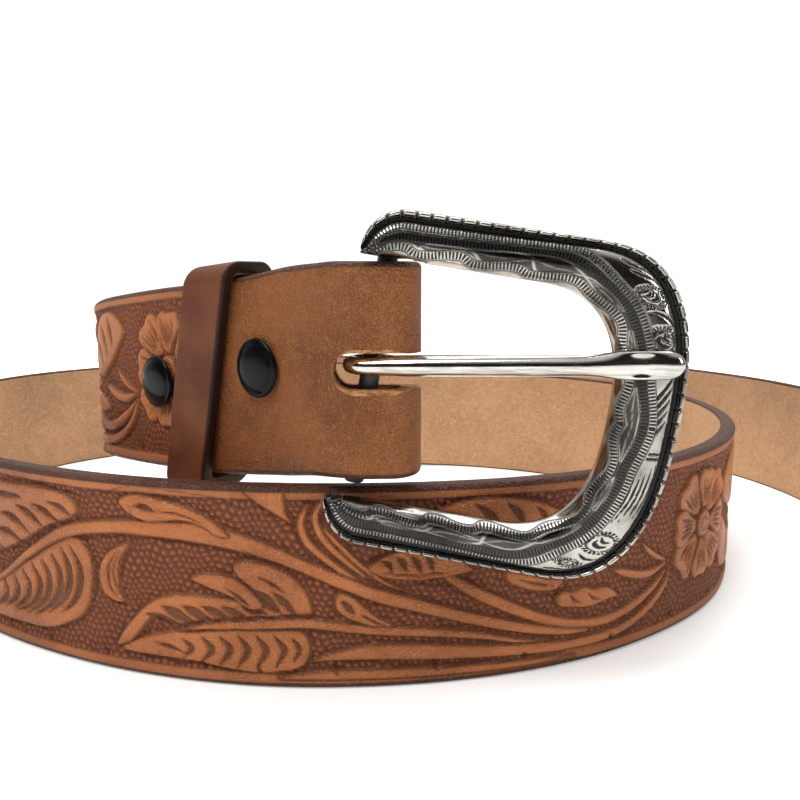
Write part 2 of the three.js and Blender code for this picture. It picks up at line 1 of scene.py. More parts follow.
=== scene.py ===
# Western tooled belt, coiled on its edge, with its buckle end raised on the front loop.
# Lengths are in millimetres until a mesh is written. Axes and origin are the frame's own.
import json
import math
import bpy
import numpy as np
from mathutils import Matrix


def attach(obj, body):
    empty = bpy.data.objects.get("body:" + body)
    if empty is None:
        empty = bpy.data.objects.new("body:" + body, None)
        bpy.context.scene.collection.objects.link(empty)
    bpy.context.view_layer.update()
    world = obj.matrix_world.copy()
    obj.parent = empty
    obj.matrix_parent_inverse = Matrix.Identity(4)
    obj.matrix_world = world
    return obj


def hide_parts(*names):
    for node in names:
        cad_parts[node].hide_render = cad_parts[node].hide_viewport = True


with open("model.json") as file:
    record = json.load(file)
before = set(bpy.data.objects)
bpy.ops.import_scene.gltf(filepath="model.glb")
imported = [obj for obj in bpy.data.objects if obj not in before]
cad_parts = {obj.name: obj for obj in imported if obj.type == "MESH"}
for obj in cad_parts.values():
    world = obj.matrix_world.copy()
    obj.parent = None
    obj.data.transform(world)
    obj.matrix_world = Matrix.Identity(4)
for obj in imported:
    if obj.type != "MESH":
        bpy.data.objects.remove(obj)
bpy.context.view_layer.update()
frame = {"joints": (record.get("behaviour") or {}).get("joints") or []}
joints = {joint["name"]: joint for joint in frame["joints"]}
barPlace = 1000 * np.array(joints["frame_swing"]["pos_m"])
print("frame loaded")


# Small helpers

def ease(t):
    # 3t^2 - 2t^3 between 0 and 1
    t = np.clip(t, 0, 1)
    return t * t * (3 - 2 * t)


def stepUp(low, high, x):
    # 0 below low, 1 above high, eased between
    return ease((x - low) / (high - low))


def runOf(line):
    # Length run from the line's start to each of its points
    return np.concatenate([[0], np.cumsum(np.linalg.norm(np.diff(line, axis=0), axis=1))])


def fullTurn(count):
    return np.linspace(0, 2 * math.pi, count + 1)[:-1]


def smoothCurve(points, steps=12, closed=False, measured=2):
    # Centripetal Catmull-Rom through the points, spaced by their first columns, the rest carried along
    points = np.asarray(points, float)
    if closed:
        ring = np.vstack([points[-1], points, points[:2]])
    else:
        ring = np.vstack([2 * points[0] - points[1], points, 2 * points[-1] - points[-2]])
    p0, p1, p2, p3 = ring[:-3], ring[1:-2], ring[2:-1], ring[3:]
    d0, d1, d2 = [
        np.maximum(np.linalg.norm((b - a)[:, :measured], axis=1), 1e-6)[:, None] ** 0.5
        for a, b in ((p0, p1), (p1, p2), (p2, p3))
    ]
    t1 = ((p1 - p0) / d0 - (p2 - p0) / (d0 + d1) + (p2 - p1) / d1) * d1
    t2 = ((p2 - p1) / d1 - (p3 - p1) / (d1 + d2) + (p3 - p2) / d2) * d1
    t = (np.arange(steps) / steps)[None, :, None]
    square = (3 * (p2 - p1) - 2 * t1 - t2)[:, None]
    cube = (2 * (p1 - p2) + t1 + t2)[:, None]
    curve = (p1[:, None] + t1[:, None] * t + square * t ** 2 + cube * t ** 3).reshape(-1, points.shape[1])
    return curve if closed else np.vstack([curve, points[-1]])


def noise(x, y, seed, octaves=3):
    # Sum of sines of random direction, each octave twice as fine and half as strong
    draw = np.random.default_rng(seed)
    total = np.zeros(np.broadcast(x, y).shape)
    for octave in range(octaves):
        for _ in range(5):
            angle = draw.uniform(0, 2 * math.pi)
            phase = draw.uniform(0, 2 * math.pi)
            pitch = draw.uniform(0.7, 1.4)
            k = pitch * 2 ** octave
            total += np.sin(k * (math.cos(angle) * x + math.sin(angle) * y) + phase) / (5 * 2 ** octave)
    return total


def writeMesh(name, points, faces, smooth=None):
    # points is n by 3 in millimetres, faces is a list of equal-length rows of indices
    mesh = bpy.data.meshes.new(name)
    mesh.from_pydata((points / 1000).tolist(), [], [row for block in faces for row in block.tolist()])
    if smooth is None:
        smooth = np.ones(len(mesh.polygons), bool)
    mesh.polygons.foreach_set("use_smooth", smooth)
    mesh.update()
    piece = bpy.data.objects.new(name, mesh)
    bpy.context.collection.objects.link(piece)
    return piece


def addValues(piece, name, values):
    # One number for each vertex, read back by the material
    attribute = piece.data.attributes.new(name, "FLOAT", "POINT")
    attribute.data.foreach_set("value", np.asarray(values, np.float32).ravel())


def volumeOf(points, quads):
    # Sum of the signed tetrahedra between the origin and each half of each quad
    a, b, c, d = (points[quads[:, i]] for i in range(4))
    return (np.einsum("ij,ij->", a, np.cross(b, c)) + np.einsum("ij,ij->", a, np.cross(c, d))) / 6


def loftMesh(name, grid, closedAlong=False):
    # grid is along by around by 3: rings joined by quads, each end closed by one flat face
    rows, columns = grid.shape[:2]
    index = np.arange(rows * columns).reshape(rows, columns)
    if closedAlong:
        index = np.vstack([index, index[:1]])
    right = np.roll(index, -1, axis=1)
    quads = np.stack([index[:-1], right[:-1], right[1:], index[1:]], axis=-1).reshape(-1, 4)
    points = grid.reshape(-1, 3)
    caps = []
    if not closedAlong:
        caps = [index[:1, ::-1], index[-1:]]
    if volumeOf(points - points.mean(axis=0), quads) < 0:
        quads = quads[:, ::-1]
        caps = [cap[:, ::-1] for cap in caps]
    smooth = np.ones(len(quads) + len(caps), bool)
    if caps:
        smooth[len(quads):] = False
    return writeMesh(name, points, [quads] + caps, smooth)


# The strap's line, in plan, from the fold to past the tip

strap = dict(
    width=38.0, thick=3.5, length=1212.0, coilWidth=290.0, coilDepth=240.0,
    foldRise=1.8, flapLength=76.0, foldOpen=8.5, foldClosed=17.9, foldTrim=0.5, foldTrimReach=12.0,
    layerGap=0.3, cavity=4.4, barToFold=np.array([3.3, -5.7]),
    grainRound=1.15, fleshRound=0.6, tipLength=34.0, tipEndWidth=9.0, tipRoundness=1.8,
    holeRadius=2.4, holeLip=0.35, holePitch=25.4, holeCount=5, firstHoleFromTip=115.0,
)
foldRadius = strap["thick"] + strap["cavity"] / 2
foldLow = strap["width"] + strap["foldRise"]
crestLength = math.pi * foldRadius
tipEnd = strap["length"] - crestLength / 2
foldPlace = barPlace[:2] + strap["barToFold"]

# along and away are shares of coilWidth and coilDepth from the fold, lift is a share of foldLow
routeTable = np.array([
    (0.0000, 0.0000, 1.000), (-0.0190, 0.0000, 1.000), (-0.0345, 0.0054, 1.000), (-0.0524, 0.0233, 0.985),
    (-0.0703, 0.0442, 0.960), (-0.0897, 0.0642, 0.931), (-0.1172, 0.0887, 0.900), (-0.1621, 0.1308, 0.867),
    (-0.2034, 0.1792, 0.830), (-0.2390, 0.2317, 0.790), (-0.2631, 0.2900, 0.740), (-0.2741, 0.3533, 0.680),
    (-0.2724, 0.4200, 0.600), (-0.2562, 0.4887, 0.500), (-0.2241, 0.5596, 0.390), (-0.1776, 0.6242, 0.270),
    (-0.1172, 0.6763, 0.160), (-0.0483, 0.7117, 0.070), (0.0241, 0.7267, 0.015), (0.0966, 0.7200, 0.000),
    (0.1586, 0.6950, 0.000), (0.2138, 0.6588, 0.000), (0.2621, 0.6075, 0.000), (0.2952, 0.5442, 0.000),
    (0.3145, 0.4754, 0.000), (0.3214, 0.4033, 0.000), (0.3162, 0.3333, 0.000), (0.3021, 0.2692, 0.000),
    (0.2817, 0.2167, 0.000), (0.2586, 0.1742, 0.000), (0.2310, 0.1375, 0.000), (0.1931, 0.1000, 0.000),
    (0.1448, 0.0637, 0.000), (0.0897, 0.0367, 0.000), (0.0328, 0.0200, 0.000), (-0.0207, 0.0129, 0.000),
    (-0.0724, 0.0133, 0.000), (-0.1241, 0.0221, 0.000), (-0.1793, 0.0404, 0.000), (-0.2345, 0.0683, 0.000),
    (-0.2862, 0.1033, 0.000), (-0.3414, 0.1512, 0.000), (-0.3966, 0.2137, 0.000), (-0.4448, 0.2888, 0.000),
    (-0.4828, 0.3742, 0.000), (-0.5052, 0.4658, 0.000), (-0.5121, 0.5575, 0.000), (-0.5010, 0.6408, 0.000),
    (-0.4707, 0.7179, 0.000), (-0.4207, 0.7846, 0.000), (-0.3517, 0.8450, 0.000), (-0.2690, 0.8971, 0.000),
    (-0.1759, 0.9408, 0.000), (-0.0690, 0.9742, 0.000), (0.0414, 0.9908, 0.000), (0.1448, 0.9846, 0.000),
    (0.2345, 0.9533, 0.000), (0.3103, 0.8992, 0.000), (0.3724, 0.8221, 0.000), (0.4224, 0.7304, 0.000),
    (0.4579, 0.6492, 0.000), (0.4793, 0.5658, 0.000), (0.4872, 0.4783, 0.000), (0.4810, 0.3908, 0.000),
    (0.4586, 0.3033, 0.000), (0.4138, 0.1908, 0.000), (0.3483, 0.0867, 0.000), (0.2621, -0.0175, 0.000),
    (0.1586, -0.0967, 0.000),
])
routeSizes = [strap["coilWidth"], strap["coilDepth"], foldLow]
routeLine = smoothCurve(routeTable * routeSizes, steps=44, measured=3)
routeLengths = runOf(routeLine[:, :2])


def routeAt(s):
    # The grain face at distance s: place in plan, unit vector ahead, unit vector into the leather, lift
    x, y, z = (np.interp(s, routeLengths, routeLine[:, i]) for i in range(3))
    reach = 1.5
    after, before = (
        np.stack([np.interp(s + side, routeLengths, routeLine[:, i]) for i in range(2)], axis=-1)
        for side in (reach, -reach)
    )
    ahead = after - before
    ahead /= np.linalg.norm(ahead, axis=-1, keepdims=True)
    inward = np.stack([ahead[..., 1], -ahead[..., 0]], axis=-1)
    return np.stack([x, y], axis=-1) + foldPlace, ahead, inward, np.maximum(z, 0)


def placeOn(s, above=0.0):
    # The middle of the grain face at s, moved up by above, and the unit vector into the leather
    point, _, inward, lift = routeAt(np.array([s]))
    return np.append(point[0], lift[0] + strap["width"] / 2 + above), np.append(inward[0], 0)


def cavityAt(s):
    # Room between the two layers: open at the fold, closed to the layer gap further on
    closing = (s - strap["foldOpen"]) / (strap["foldClosed"] - strap["foldOpen"])
    return strap["layerGap"] + (strap["cavity"] - strap["layerGap"]) * (1 - ease(closing))


def bandAt(u):
    # The whole band by one length u: the flap behind (below -crestLength), the crest of the fold, the front
    s = np.where(u < 0, np.maximum(-u - crestLength, 0), u)
    point, _, inward, lift = routeAt(s)
    flap = (u < -crestLength)[..., None]
    depth = (2 * strap["thick"] + cavityAt(s))[..., None]
    point = np.where(flap, point + inward * depth, point)
    inward = np.where(flap, -inward, inward)
    crest = ((u >= -crestLength) & (u < 0))[..., None]
    angle = -math.pi / 2 - np.clip(u, -crestLength, 0) / foldRadius
    outward = np.stack([np.cos(angle), np.sin(angle)], axis=-1)
    centre = foldPlace + [0, foldRadius]
    point = np.where(crest, centre + outward * foldRadius, point)
    inward = np.where(crest, -outward, inward)
    lift = np.where(crest[..., 0], foldLow, lift)
    trim = strap["foldTrim"] * (1 - ease((s - strap["foldTrimReach"]) / strap["foldTrimReach"]))
    low, high = lift + trim, lift + strap["width"] - trim
    t = np.clip((u - (tipEnd - strap["tipLength"])) / strap["tipLength"], 0, 1)
    half = strap["width"] / 2
    endHalf = strap["tipEndWidth"] / 2
    cut = (half - endHalf) * (1 - np.sqrt(1 - t ** strap["tipRoundness"]))
    return point, inward, low + cut, high - cut


# Floral tooling: one repeat, drawn back to front: leaves, flower, stems, then the leaves before them

tooling = dict(
    start=430.0, period=200.0, pitch=0.2, borderLow=2.6, borderHigh=35.6,
    groundDepth=0.62, bevelDepth=0.6, bevelReach=1.1, deepest=1.25, crown=0.36, crownReach=0.55,
    dotPitch=1.4, dotRadius=0.34, dotHeight=0.42, dotWander=0.28, rowHeight=0.87,
    cutDepth=0.62, cutSpread=1.35, borderSoft=0.3, borderInk=0.5, borderCut=0.25, markDepth=0.4,
    formSoft=0.14, formTop=0.06, formInk=0.3, groundFrom=(-0.1, 0.55),
    grooveFrom=(-0.12, 0.35), inkFrom=(-0.1, 0.28), inkShare=0.9, nearForm=4.0, nearCut=1.5,
)

# s along the strap, h up it and the width, in points along each stem
stems = [
    [(630, 9, 1.0), (620, 13.8, 1.4), (610, 20.7, 1.9), (600, 26.2, 2.5), (590, 28.4, 2.6), (580, 28.9, 2.9),
     (570, 28.7, 3.6), (560, 26.7, 3.1), (550, 22.9, 2.5), (540, 18.5, 2.7), (530, 15.4, 2.6),
     (520, 12.2, 2.4), (510, 9.2, 2.1), (500, 6.8, 1.4), (495, 6.2, 0.6)],
    [(574.5, 9.9, 0.5), (568.9, 11.1, 1.2), (562.6, 11.7, 1.6), (556.4, 12.2, 1.8), (550, 12.4, 1.8),
     (544, 11.7, 1.8), (537.5, 10.9, 1.8), (530, 10.3, 1.8), (524, 9.6, 1.7), (517, 8.3, 1.4),
     (511, 6.7, 1.0), (505, 5.7, 0.4)],
    [(550, 5.2, 0.4), (545, 6.2, 1.6), (538, 6.8, 2.9), (530, 6.4, 3.0), (520, 5.6, 2.6), (510, 4.7, 2.2),
     (500, 4.0, 2.0), (490, 4.1, 2.0), (483, 5.3, 2.0), (477, 7.8, 1.9), (473, 11.0, 1.6),
     (471.5, 13.6, 0.8)],
    [(527, 21.6, 0.5), (524, 20.2, 1.8), (520, 17.6, 2.4), (515, 14.9, 2.5), (510, 12.3, 2.4),
     (505, 10.1, 2.3), (500, 8.4, 2.2), (495, 7.5, 2.2), (490, 7.4, 2.2), (485, 8.2, 2.2),
     (480, 9.8, 2.1), (476, 11.6, 1.7), (472.5, 14.0, 0.8)],
    [(489, 17.4, 0.6), (486, 16.4, 1.8), (482.5, 15.2, 2.0), (478, 14.6, 1.9), (473, 15.4, 0.9)],
    [(481, 21.6, 0.5), (479, 19.6, 1.3), (476, 17.6, 1.4), (472.5, 16.0, 0.8)],
    [(550, 34.6, 0.7), (551.3, 31.5, 1.4), (550.4, 28.2, 1.6), (547.6, 25.2, 1.6), (544.2, 22.4, 1.4),
     (541, 20.2, 0.8)],
    [(546.6, 36.0, 0.7), (548.6, 33.0, 1.3), (548.2, 30.0, 1.5), (546.4, 27.2, 1.5), (543.4, 24.2, 1.3),
     (540, 21.2, 0.8)],
    [(548, 31.5, 0.4), (546.4, 29.2, 1.0), (543.6, 26.2, 1.2), (540, 22.6, 1.2), (536, 19.8, 0.9),
     (532, 18, 0.4)],
    [(556, 1.9, 0.5), (548, 2.4, 1.5), (538, 2.5, 1.8), (525, 2.3, 1.6), (510, 1.9, 1.2), (498, 1.6, 0.5)],
]

# Outlines (s, h) of leaves and buds, each with its cuts (s, h, width)
leaves = [
    dict(outline=[(646, 20), (636, 14), (626, 13.5), (619, 14.6), (610, 19.4), (604, 23), (598, 25.4),
                  (595.4, 24.6), (593.9, 22.4), (593.4, 19.3), (593.9, 15.5), (594.8, 12.4), (597, 9.6),
                  (600.8, 7.4), (604.5, 5.8), (609.5, 4.9), (615, 4.7), (624, 4.6), (636, 4.8), (645, 8)],
         cuts=[[(598.6, 23.4, 0.5), (596.6, 19.6, 1.3), (597, 15.4, 1.4), (599, 12, 1.0), (602, 9.6, 0.3)],
               [(601.2, 22.8, 0.5), (599.4, 19.4, 1.4), (599.6, 15.6, 1.5), (601.6, 12.2, 1.2),
                (605.6, 8.8, 0.3)],
               [(603.8, 21.2, 0.5), (602, 17.8, 1.4), (602.4, 14, 1.5), (605, 10.6, 1.1), (609.6, 7.6, 0.3)],
               [(606.8, 19.6, 0.5), (605, 16.6, 1.4), (605.6, 13, 1.5), (608, 10, 1.0), (612, 7.6, 0.3)],
               [(610, 18.2, 0.5), (607.8, 15.2, 1.3), (608.4, 12.2, 1.4), (611, 9.4, 1.0), (616, 7, 0.3)],
               [(613, 16.4, 0.5), (611, 13.8, 1.2), (612, 10.8, 1.3), (616, 7.8, 0.4)],
               [(616, 14.6, 0.4), (614.6, 12.2, 1.2), (615.8, 9.8, 1.2), (619, 7.6, 0.4)],
               [(620, 13, 0.4), (618.4, 11, 1.2), (619.6, 8.8, 1.2), (623, 6.8, 0.4)],
               [(626, 12.4, 0.4), (624.2, 10, 1.3), (626.6, 7.2, 0.5)],
               [(632, 13, 0.4), (630.2, 10.4, 1.3), (632.6, 7.2, 0.5)],
               [(639, 15.4, 0.4), (636.4, 11.6, 1.4), (638.4, 7.6, 0.5)]]),
    dict(outline=[(644, 24), (636, 20), (626, 18.6), (620, 19.2), (612, 22.6), (604, 27), (597.5, 29.6),
                  (596.4, 31.6), (599, 33.6), (606, 34.4), (616, 34.2), (628, 34), (638, 33), (644, 29)],
         cuts=[[(613, 29.8, 0.4), (609.6, 28.8, 1.3), (606, 26.6, 0.4)],
               [(608.4, 30.8, 0.4), (604.6, 29.6, 1.3), (601, 27.4, 0.4)],
               [(604, 31.8, 0.4), (600.6, 31, 1.2), (598, 29.4, 0.4)],
               [(618.6, 27.6, 0.4), (614.4, 27.2, 1.3), (610, 24.6, 0.4)],
               [(621, 23.8, 0.4), (616, 23.8, 1.3), (611.6, 21.6, 0.4)],
               [(622, 31.4, 0.3), (617, 31.6, 1.2), (611, 31.8, 0.3)],
               [(627, 22, 0.4), (622.6, 21.4, 1.2), (618.6, 19.8, 0.4)],
               [(634, 30, 0.4), (629, 27.6, 1.5), (624, 24.6, 0.4)],
               [(640, 27, 0.4), (635, 24.6, 1.5), (630, 21.2, 0.4)]]),
    dict(outline=[(584.6, 25.8), (588, 24.6), (590.8, 22.4), (592, 19.2), (591.4, 15.8), (589.4, 14.2),
                  (586.6, 14), (587.4, 16.4), (587.5, 19.8), (586.6, 22.8)],
         cuts=[[(587.4, 24.2, 0.3), (589.6, 20.6, 0.6), (589.4, 16.8, 0.6), (587.8, 14.8, 0.3)],
               [(586.6, 24.4, 0.3), (588.5, 20.6, 0.5), (588.2, 17.2, 0.5), (587.2, 15, 0.3)]]),
    dict(outline=[(588.8, 5.2), (587.6, 7.6), (585.2, 10.6), (582, 13.8), (578.6, 15.9), (574, 16.9),
                  (569, 16.9), (565, 16.6), (562.8, 16.4), (560, 15.6), (556, 14.6), (551.4, 14),
                  (556, 13.7), (562, 13.3), (570, 12.3), (576, 10.8), (580.2, 11.8), (583, 9), (586, 6)],
         cuts=[[(581.6, 12.4, 0.5), (578.4, 11.8, 1.5), (575.2, 10.9, 0.9)],
               [(578.4, 14.4, 0.4), (575.6, 13.2, 1.9), (572.6, 11.8, 1.1)],
               [(574.2, 14.8, 0.4), (571.8, 13.8, 1.7), (569.2, 12.6, 1.0)],
               [(570.2, 15, 0.4), (568, 14.2, 1.5), (565.6, 13.2, 0.9)],
               [(566.4, 15.2, 0.4), (564.6, 14.4, 1.4), (562.4, 13.6, 0.8)],
               [(562.6, 15.2, 0.3), (560.6, 14.6, 1.2), (558, 14.1, 0.6)]]),
    dict(outline=[(572.4, 20.2), (570, 21.2), (567, 21.4), (564.4, 20.8), (562.4, 19.8), (560.2, 17.8),
                  (558.6, 15.4), (560.6, 14.8), (562.6, 15.8), (564, 16.8), (566.4, 17.8), (569.6, 18.9)],
         cuts=[[(565.2, 18.8, 0.3), (562.8, 17, 0.8), (561, 15.6, 0.3)]]),
    dict(outline=[(563.2, 21.2), (564, 23), (562.4, 24), (559, 23.8), (556, 23), (553, 21.4), (550.8, 19),
                  (549.7, 16.4), (549.6, 14.6), (552.4, 14.2), (556, 14.6), (558.8, 16.8), (560.6, 19)],
         cuts=[[(560, 18.8, 0.4), (557.8, 17, 1.6), (555.8, 14.9, 1.0)],
               [(556.6, 18.4, 0.4), (554.8, 16.8, 1.4), (553, 14.8, 0.9)],
               [(559.4, 21.4, 0.3), (556.8, 20, 0.7), (554.2, 18.2, 0.3)]]),
    dict(outline=[(588, 4.6), (580, 8.6), (573, 9.6), (566, 10.6), (558, 11), (551, 10.6), (550, 7),
                  (551.4, 4.2), (556, 2.9), (564, 3), (572, 4), (580, 4.2)],
         cuts=[[(574.4, 8.2, 0.4), (572.6, 6.6, 1.2), (574.2, 4.8, 0.4)],
               [(570.6, 9, 0.4), (568.6, 6.8, 1.3), (570.6, 4.2, 0.4)],
               [(567, 9.4, 0.4), (565, 7, 1.3), (567, 4, 0.4)],
               [(563.4, 9.8, 0.4), (561.6, 7, 1.3), (563.6, 3.8, 0.4)],
               [(560, 10, 0.4), (558.2, 7.2, 1.3), (560, 3.8, 0.4)],
               [(556.6, 10, 0.4), (554.8, 7.4, 1.2), (556.4, 4, 0.4)],
               [(553.4, 9.8, 0.4), (552, 7.6, 1.0), (553.2, 5, 0.4)],
               [(580, 7, 0.3), (577, 6.4, 0.9), (574, 5.6, 0.3)]]),
    dict(outline=[(545.2, 17.4), (544.4, 18.2), (542.6, 17.8), (540.4, 16), (537.6, 13.6), (534.4, 11.8),
                  (537.6, 11.7), (541.2, 12.6), (544, 14), (545.3, 15.6)],
         cuts=[[(543.9, 16.6, 0.9), (543, 15.6, 1.3), (542, 14.6, 0.7)],
               [(540.4, 14, 0.5), (538, 12.6, 0.6), (536.2, 11.9, 0.3)]]),
    dict(outline=[(586.6, 33.8), (584, 35.2), (579.6, 35), (574.4, 34), (570, 32.6), (566.8, 30.8),
                  (564.4, 28.4), (566.6, 28.4), (569.4, 30), (573.4, 30.9), (577, 30.6), (581, 30.3),
                  (584.6, 31.6)],
         cuts=[[(583, 33.2, 0.4), (581, 33, 1.3), (579, 32.4, 0.4)],
               [(579, 32.6, 0.3), (574, 32.2, 0.5), (569.6, 30.8, 0.3)]]),
    dict(outline=[(552.4, 31), (553.8, 33), (554.2, 36), (556, 40), (564, 40), (562, 37.4), (559.6, 35.2),
                  (556.4, 33.2)], cuts=[]),
    dict(outline=[(539.4, 23), (537.2, 25), (534, 26.1), (530, 26.2), (525.4, 25.2), (521.6, 23.4),
                  (520, 21.6), (524, 20.8), (529, 20.3), (534, 20.6), (537.4, 21.4)],
         cuts=[[(537, 24.2, 0.3), (535.6, 23.6, 1.1), (535, 22.2, 0.4)],
               [(534.4, 25, 0.3), (533.2, 24, 1.2), (532.4, 22.2, 0.4)],
               [(531.6, 25.2, 0.3), (530.6, 24, 1.2), (529.8, 22, 0.4)],
               [(528.8, 25, 0.3), (528, 23.8, 1.1), (527.4, 22, 0.4)],
               [(537.6, 22.2, 0.3), (531, 21.4, 0.5), (524, 21.8, 0.3)]]),
    dict(outline=[(513.4, 20.6), (509.4, 19.8), (505, 18.4), (501, 17.6), (502.6, 15.8), (506.4, 15.9),
                  (510.6, 17.3), (513.4, 19)], cuts=[[(511, 19, 0.3), (507, 17.6, 0.6), (503.4, 16.8, 0.3)]]),
    dict(outline=[(502.8, 13.6), (501.4, 15.2), (498.6, 14.8), (496.2, 15.4), (493.4, 14.4), (491, 14.6),
                  (488.6, 13.2), (487.4, 12), (490.4, 11.6), (494.6, 11), (499.4, 11.6), (502, 12.2)],
         cuts=[[(499.6, 14.4, 0.3), (498.8, 13.2, 0.7), (497, 12.2, 0.3)],
               [(495.4, 14, 0.3), (494.4, 12.9, 0.6), (492.4, 12.2, 0.3)]]),
    dict(outline=[(533, 27.6), (529.6, 31.4), (525.6, 33.6), (521, 34.9), (514, 35), (507, 33.6),
                  (501.6, 30.8), (506, 29), (512, 27.6), (518, 26.4), (526, 26.4)],
         cuts=[[(529, 30.6, 0.4), (525.6, 29.6, 1.3), (523, 27.6, 0.4)],
               [(525, 33, 0.4), (521.4, 31, 1.5), (519, 28, 0.4)],
               [(519.6, 34, 0.4), (516.4, 31.4, 1.5), (514.4, 28.4, 0.4)],
               [(513.6, 34, 0.4), (511, 31.6, 1.4), (509.8, 29, 0.4)],
               [(507.6, 32.8, 0.4), (506, 31.2, 1.1), (505.2, 29.8, 0.4)]]),
    dict(outline=[(500.6, 24), (498, 29.4), (493, 33.6), (487, 34.8), (481, 33.6), (476.6, 30), (480.4, 26),
                  (485, 22.6), (491, 20), (497.4, 20)],
         cuts=[[(496.6, 28.6, 0.4), (493.4, 26, 1.6), (490.4, 22.6, 0.5)],
               [(491.4, 32.2, 0.4), (489, 28.6, 1.6), (486.8, 24.8, 0.5)],
               [(485.6, 33.4, 0.4), (484.4, 30.4, 1.5), (483, 27, 0.5)]]),
]

# A cut that wanders along the upper border, and where the lower border is struck
borderLine = [(630, 35.4, 0.4), (610, 35.5, 0.4), (596, 33.9, 0.4), (590, 35, 0.4), (584, 36.9, 0.4),
              (576, 36.6, 0.4), (566, 35.4, 0.4), (558, 31.8, 0.3)]
borderMarks = (619, 606, 591.5, 570.5, 559.5, 545.5, 527, 509, 489, 470, 452, 636)

# Flower: petals round a ringed centre, each with cuts that fan out from its root
flower = dict(
    s=457.6, h=21.0, petals=8, firstAngle=4.0, reach=13.4, root=3.6, halfWidth=0.43, ring=3.1, eye=1.5,
    eyeDepth=0.3,
)
petalShape = ((0.0, 0.55), (0.35, 0.85), (0.68, 1.0), (0.9, 0.78), (0.99, 0.4), (0.93, 0.0))
petalCuts = ((-0.2, 0.42, 0.86), (-0.07, 0.36, 0.8), (0.07, 0.36, 0.8), (0.2, 0.42, 0.86))


def petalOutline(angle, reach):
    # Radius grows along the petal while the half angle swells and closes: a rounded spoon with a notched end
    root, half = flower["root"], flower["halfWidth"]
    side = [(root + r * (reach - root), w * half) for r, w in petalShape]
    turns = side + [(r, -w) for r, w in reversed(side[:-1])]
    return [(flower["s"] + r * math.cos(angle + w), flower["h"] + r * math.sin(angle + w)) for r, w in turns]


def flowerLeaves():
    found = []
    for i in range(flower["petals"]):
        angle = math.radians(flower["firstAngle"] + 360 * i / flower["petals"])
        reach = flower["reach"] * (1.04 if i % 2 else 0.94)
        cuts = []
        for turn, start, stop in petalCuts:
            line = []
            for share, width in ((start, 0.2), (0.5 * (start + stop), 0.75), (stop, 0.3)):
                x = flower["s"] + share * reach * math.cos(angle + turn)
                y = flower["h"] + share * reach * math.sin(angle + turn)
                line.append((x, y, width))
            cuts.append(line)
        found.append(dict(outline=petalOutline(angle, reach), cuts=cuts))
    return found[1::2] + found[0::2]


def segmentField(x, y, line, closed):
    # Distance from each sample to the nearest piece of the line, and the line's third column there
    ends = np.roll(line, -1, axis=0) if closed else line[1:]
    starts = line if closed else line[:-1]
    nearest = np.full(x.shape, 1e9)
    width = np.zeros(x.shape)
    crossings = np.zeros(x.shape, int)
    for a, b in zip(starts, ends):
        dx, dy = b[0] - a[0], b[1] - a[1]
        t = np.clip(((x - a[0]) * dx + (y - a[1]) * dy) / (dx * dx + dy * dy + 1e-12), 0, 1)
        gap = np.hypot(x - a[0] - t * dx, y - a[1] - t * dy)
        closer = gap < nearest
        nearest = np.where(closer, gap, nearest)
        if line.shape[1] > 2:
            width = np.where(closer, a[2] + t * (b[2] - a[2]), width)
        if closed:
            spans = (a[1] > y) != (b[1] > y)
            crossings += spans & (x < a[0] + (y - a[1]) * dx / (dy if dy else 1e-12))
    return nearest, width, crossings % 2 == 1


